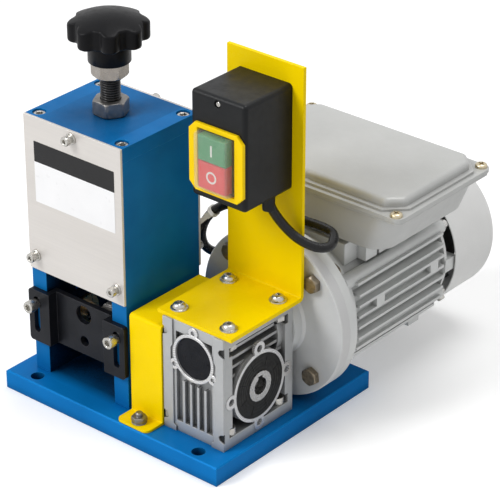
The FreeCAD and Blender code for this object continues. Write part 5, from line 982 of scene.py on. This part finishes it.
# The terminal box is cast with sloping sides and closed by a cast lid with a raised panel. Both
# are painted a warmer grey. Four pan head screws, yellow passivated, hold the lid.
box_paint = new_finish("box_paint", (0.52, 0.525, 0.515), 0.1, 0.38, 0.4)
mottle(box_paint, grain(box_paint, 0.03, detail=5), 0.7, (0.47, 0.475, 0.465))
# Painted shade: darker grey in corners.
tint(box_paint, painted_corner_shade(box_paint, 0.006, 0.5), (0.24, 0.235, 0.225))
soften(box_paint, 0.0010, (0.72, 0.72, 0.70), 0.6)
roughen(box_paint, grain(box_paint, 0.006, detail=5), 0.3, 0.46)
emboss(box_paint, grain(box_paint, 0.0014), 0.0001)
coat(box_paint, "terminal_box", "terminal_box_lid")
passivated = new_finish("yellow_passivated", (0.62, 0.54, 0.38), 1, 0.28)
mottle(passivated, grain(passivated, 0.002), 0.7, (0.48, 0.42, 0.30))
roughen(passivated, grain(passivated, 0.002), 0.22, 0.4)
emboss(passivated, grain(passivated, 0.0005), 0.00002)
lid_places = [((0.0705 + across * 0.0845, 0.1175 + along * 0.0545, 0.1815), UP)
              for across in (-1, 1) for along in (-1, 1)]
fit("lid_pan_screws",
    repeated("lid_pan_screws", pan_screw(0.005, 0.0098, 0.0030, 0.0065), lid_places, passivated, 9),
    passivated, "frame", "screw_steel", "lid_screws")
capacitor_white = new_finish("capacitor_white", (0.75, 0.75, 0.73), 0, 0.4)
mottle(capacitor_white, grain(capacitor_white, 0.01), 0.4, (0.66, 0.66, 0.63))
roughen(capacitor_white, grain(capacitor_white, 0.003), 0.33, 0.5)
emboss(capacitor_white, grain(capacitor_white, 0.001), 0.00005)
coat(capacitor_white, "capacitor")


# The switch's bracket and the shaft guard are bent from steel sheet and powder coated a glossy
# warning yellow, with a slight orange peel.
yellow_coat = new_finish("yellow_powder_coat", (0.96, 0.69, 0.0005), 0, 0.26, 0.05)
mottle(yellow_coat, grain(yellow_coat, 0.04, detail=3), 0.5, (0.90, 0.62, 0.0005))
soften(yellow_coat, 0.0006, (0.98, 0.76, 0.02), 0.7)
roughen(yellow_coat, grain(yellow_coat, 0.01, detail=4), 0.2, 0.34)
emboss(yellow_coat, grain(yellow_coat, 0.0018), 0.00006)
coat(yellow_coat, "switch_bracket", "shaft_guard")


# Four flanged dome head screws with nuts underneath, nickel plated, hold the bracket on the
# gearbox. A dull steel stud with a nut and a washer holds the guard on the base.
def dome_screw():
    socket = hexagonal(0.0036)
    return turned([
        (0.0024, -0.0185), (0.003, -0.0180), (0.003, -0.0168), (0.0047, -0.0168),
        (hexagonal(0.010), -0.0162),
        (hexagonal(0.010), -0.0126), (0.0047, -0.0120), (0.003, -0.0120), (0.003, 0), (0.0068, 0),
        (0.007, 0.0003),
        (0.0068, 0.0010), (0.0060, 0.0013), (0.0054, 0.0015), (0.0053, 0.0022), (0.0050, 0.0030),
        (0.0045, 0.0038),
        (0.0038, 0.0044), (0.0030, 0.0048), (0.0022, 0.0050), (socket, 0.0049), (socket, 0.0028),
        (0.0004, 0.0025)], steps=60)


dome_places = [((0.0705 + across * 0.0245, -0.031 + along * 0.0285, 0.116), UP)
               for across in (-1, 1) for along in (-1, 1)]
fit("bracket_dome_screws", repeated("bracket_dome_screws", dome_screw(), dome_places, nickel, 8),
    nickel, "frame", "screw_steel", "bracket_screws")
stud = turned([(0.0024, 0.0050), (0.003, 0.0055), (0.003, 0.0180), (0.0058, 0.0180),
               (0.0061, 0.0183), (0.0058, 0.0190),
               (0.0052, 0.0190), (hexagonal(0.011, 0.0060), 0.0195), (hexagonal(0.011), 0.0200),
               (hexagonal(0.011), 0.0228),
               (hexagonal(0.011, 0.0060), 0.0233), (0.0050, 0.0237), (0.003, 0.0237),
               (0.003, 0.0262), (0.0024, 0.0270), (0.0010, 0.0271)], steps=60)
fit("guard_stud_and_nut",
    smoothed(placed(stud, (0.025, -0.084, 0), turn=0.21), "guard_stud_and_nut"),
    dull_steel, "frame", "screw_steel")


# The switch sits in a black moulded box with rounded edges. A yellow frame snaps into its front
# and holds a clear soft cover over two push buttons.
box_black = new_finish("switch_black", (0.006, 0.007, 0.008), 0, 0.36, 0.2)
mottle(box_black, grain(box_black, 0.015, detail=4), 0.5, (0.012, 0.012, 0.013))
soften(box_black, 0.0008)
roughen(box_black, grain(box_black, 0.006), 0.3, 0.46)
emboss(box_black, grain(box_black, 0.0007), 0.00006)
coat(box_black, "switch_box", "switch_module")
recess_screw = placed(pan_screw(0.0025, 0.0042, 0.0010, 0.004), (0.0705, -0.0408, 0.2850), FRONT,
                      0.4)
fit("switch_box_screw", smoothed(recess_screw, "switch_box_screw"), nickel, "frame", "screw_steel")
frame_yellow = new_finish("frame_yellow", (0.96, 0.66, 0.003), 0, 0.3, 0.08)
mottle(frame_yellow, grain(frame_yellow, 0.01), 0.4, (0.90, 0.58, 0.003))
soften(frame_yellow, 0.0005)
roughen(frame_yellow, grain(frame_yellow, 0.004), 0.24, 0.38)
emboss(frame_yellow, grain(frame_yellow, 0.001), 0.00004)
coat(frame_yellow, "switch_bezel")
clear_film = new_finish("clear_film", (0.72, 0.70, 0.64), 0, 0.12, 0.4)
clear_film.node_tree.nodes["Principled BSDF"].inputs["Alpha"].default_value = 0.13
mottle(clear_film, grain(clear_film, 0.012), 0.6, (0.5, 0.47, 0.4))
roughen(clear_film, grain(clear_film, 0.006), 0.08, 0.2)
emboss(clear_film, grain(clear_film, 0.004), 0.0001)
coat(clear_film, "switch_cover")


# The start button is green with a white bar, and the stop button red with a white ring, both
# moulded glossy and marked by hot foil.
green_plastic = new_finish("green_plastic", (0.03, 0.30, 0.12), 0, 0.28, 0.2)
mottle(green_plastic, grain(green_plastic, 0.006), 0.4, (0.022, 0.25, 0.10))
soften(green_plastic, 0.0005)
roughen(green_plastic, grain(green_plastic, 0.004), 0.22, 0.36)
emboss(green_plastic, grain(green_plastic, 0.001), 0.00004)
coat(green_plastic, "start_button")
red_plastic = new_finish("red_plastic", (0.76, 0.03, 0.045), 0, 0.28, 0.2)
mottle(red_plastic, grain(red_plastic, 0.006), 0.4, (0.66, 0.024, 0.036))
soften(red_plastic, 0.0005)
roughen(red_plastic, grain(red_plastic, 0.004), 0.22, 0.36)
emboss(red_plastic, grain(red_plastic, 0.001), 0.00004)
coat(red_plastic, "stop_button")
foil_white = new_finish("foil_white", (0.80, 0.80, 0.78), 0, 0.35)
mottle(foil_white, grain(foil_white, 0.002), 0.4, (0.7, 0.7, 0.68))
roughen(foil_white, grain(foil_white, 0.002), 0.3, 0.45)
emboss(foil_white, grain(foil_white, 0.0006), 0.00002)
button_face = -0.0498
bar = placed(rounded_plate(0.0016, 0.009, 0.0004, 0.00012), (0.0705, button_face, 0.2505), FRONT)
fit("start_bar", smoothed(bar, "start_bar"), foil_white, "start", "button_green")
ring = turned([(0.0034, -0.0001), (0.0048, -0.0001), (0.0048, 0.00012), (0.0034, 0.00012)],
              bored=True)
fit("stop_ring", smoothed(placed(ring, (0.0705, button_face, 0.2291), FRONT), "stop_ring"),
    foil_white, "stop", "button_red")


# The floor is a plain white sheet. The light comes from two large soft lamps and a pale sky, and
# the camera sees both floor and sky as white.
floor_mesh = bpy.data.meshes.new("floor")
floor_mesh.from_pydata([(-4, -4, -0.0002), (4, -4, -0.0002), (4, 4, -0.0002), (-4, 4, -0.0002)], [],
                       [(0, 1, 2, 3)])
floor = bpy.data.objects.new("floor", floor_mesh)
bpy.context.scene.collection.objects.link(floor)
floor_white = new_finish("floor_white", (0.86, 0.86, 0.86), 0, 0.8)
floor_nodes = floor_white.node_tree.nodes
floor_nodes["Principled BSDF"].inputs["Emission Color"].default_value = (1, 1, 1, 1)
floor_ray = floor_nodes.new("ShaderNodeLightPath")
floor_lift = floor_nodes.new("ShaderNodeMath")
floor_lift.operation = "MULTIPLY"
floor_lift.inputs[1].default_value = 0.25
floor_white.node_tree.links.new(floor_ray.outputs["Is Camera Ray"], floor_lift.inputs[0])
floor_white.node_tree.links.new(floor_lift.outputs[0],
                                floor_nodes["Principled BSDF"].inputs["Emission Strength"])
floor_mesh.materials.append(floor_white)

world = bpy.data.worlds.new("studio")
bpy.context.scene.world = world
world.use_nodes = True
sky = world.node_tree.nodes
backdrop = sky["Background"]
ray = sky.new("ShaderNodeLightPath")
seen = sky.new("ShaderNodeMath")
seen.operation = "ADD"
seen_through = sky.new("ShaderNodeMath")
seen_through.operation = "ADD"
seen_through.use_clamp = True
strength = sky.new("ShaderNodeMapRange")
strength.inputs["To Min"].default_value = 0.42
strength.inputs["To Max"].default_value = 1.0
world.node_tree.links.new(ray.outputs["Is Camera Ray"], seen.inputs[0])
world.node_tree.links.new(ray.outputs["Is Glossy Ray"], seen.inputs[1])
world.node_tree.links.new(seen.outputs[0], seen_through.inputs[0])
world.node_tree.links.new(ray.outputs["Is Transmission Ray"], seen_through.inputs[1])
world.node_tree.links.new(seen_through.outputs[0], strength.inputs["Value"])
world.node_tree.links.new(strength.outputs["Result"], backdrop.inputs["Strength"])
backdrop.inputs["Color"].default_value = (1, 1, 1, 1)


def soft_lamp(name, place, size, power):
    lamp = bpy.data.lights.new(name, "AREA")
    lamp.shape = "DISK"
    lamp.size = size
    lamp.energy = power
    stand = bpy.data.objects.new(name, lamp)
    bpy.context.scene.collection.objects.link(stand)
    stand.location = place
    aim = Vector((0, 0, 0.12)) - Vector(place)
    stand.rotation_euler = aim.to_track_quat("-Z", "Y").to_euler()


soft_lamp("front_lamp", (-0.9, -1.8, 1.9), 1.2, 44)
soft_lamp("top_lamp", (0.3, 0.6, 2.4), 1.4, 24)

bpy.context.scene.view_settings.view_transform = "Standard"
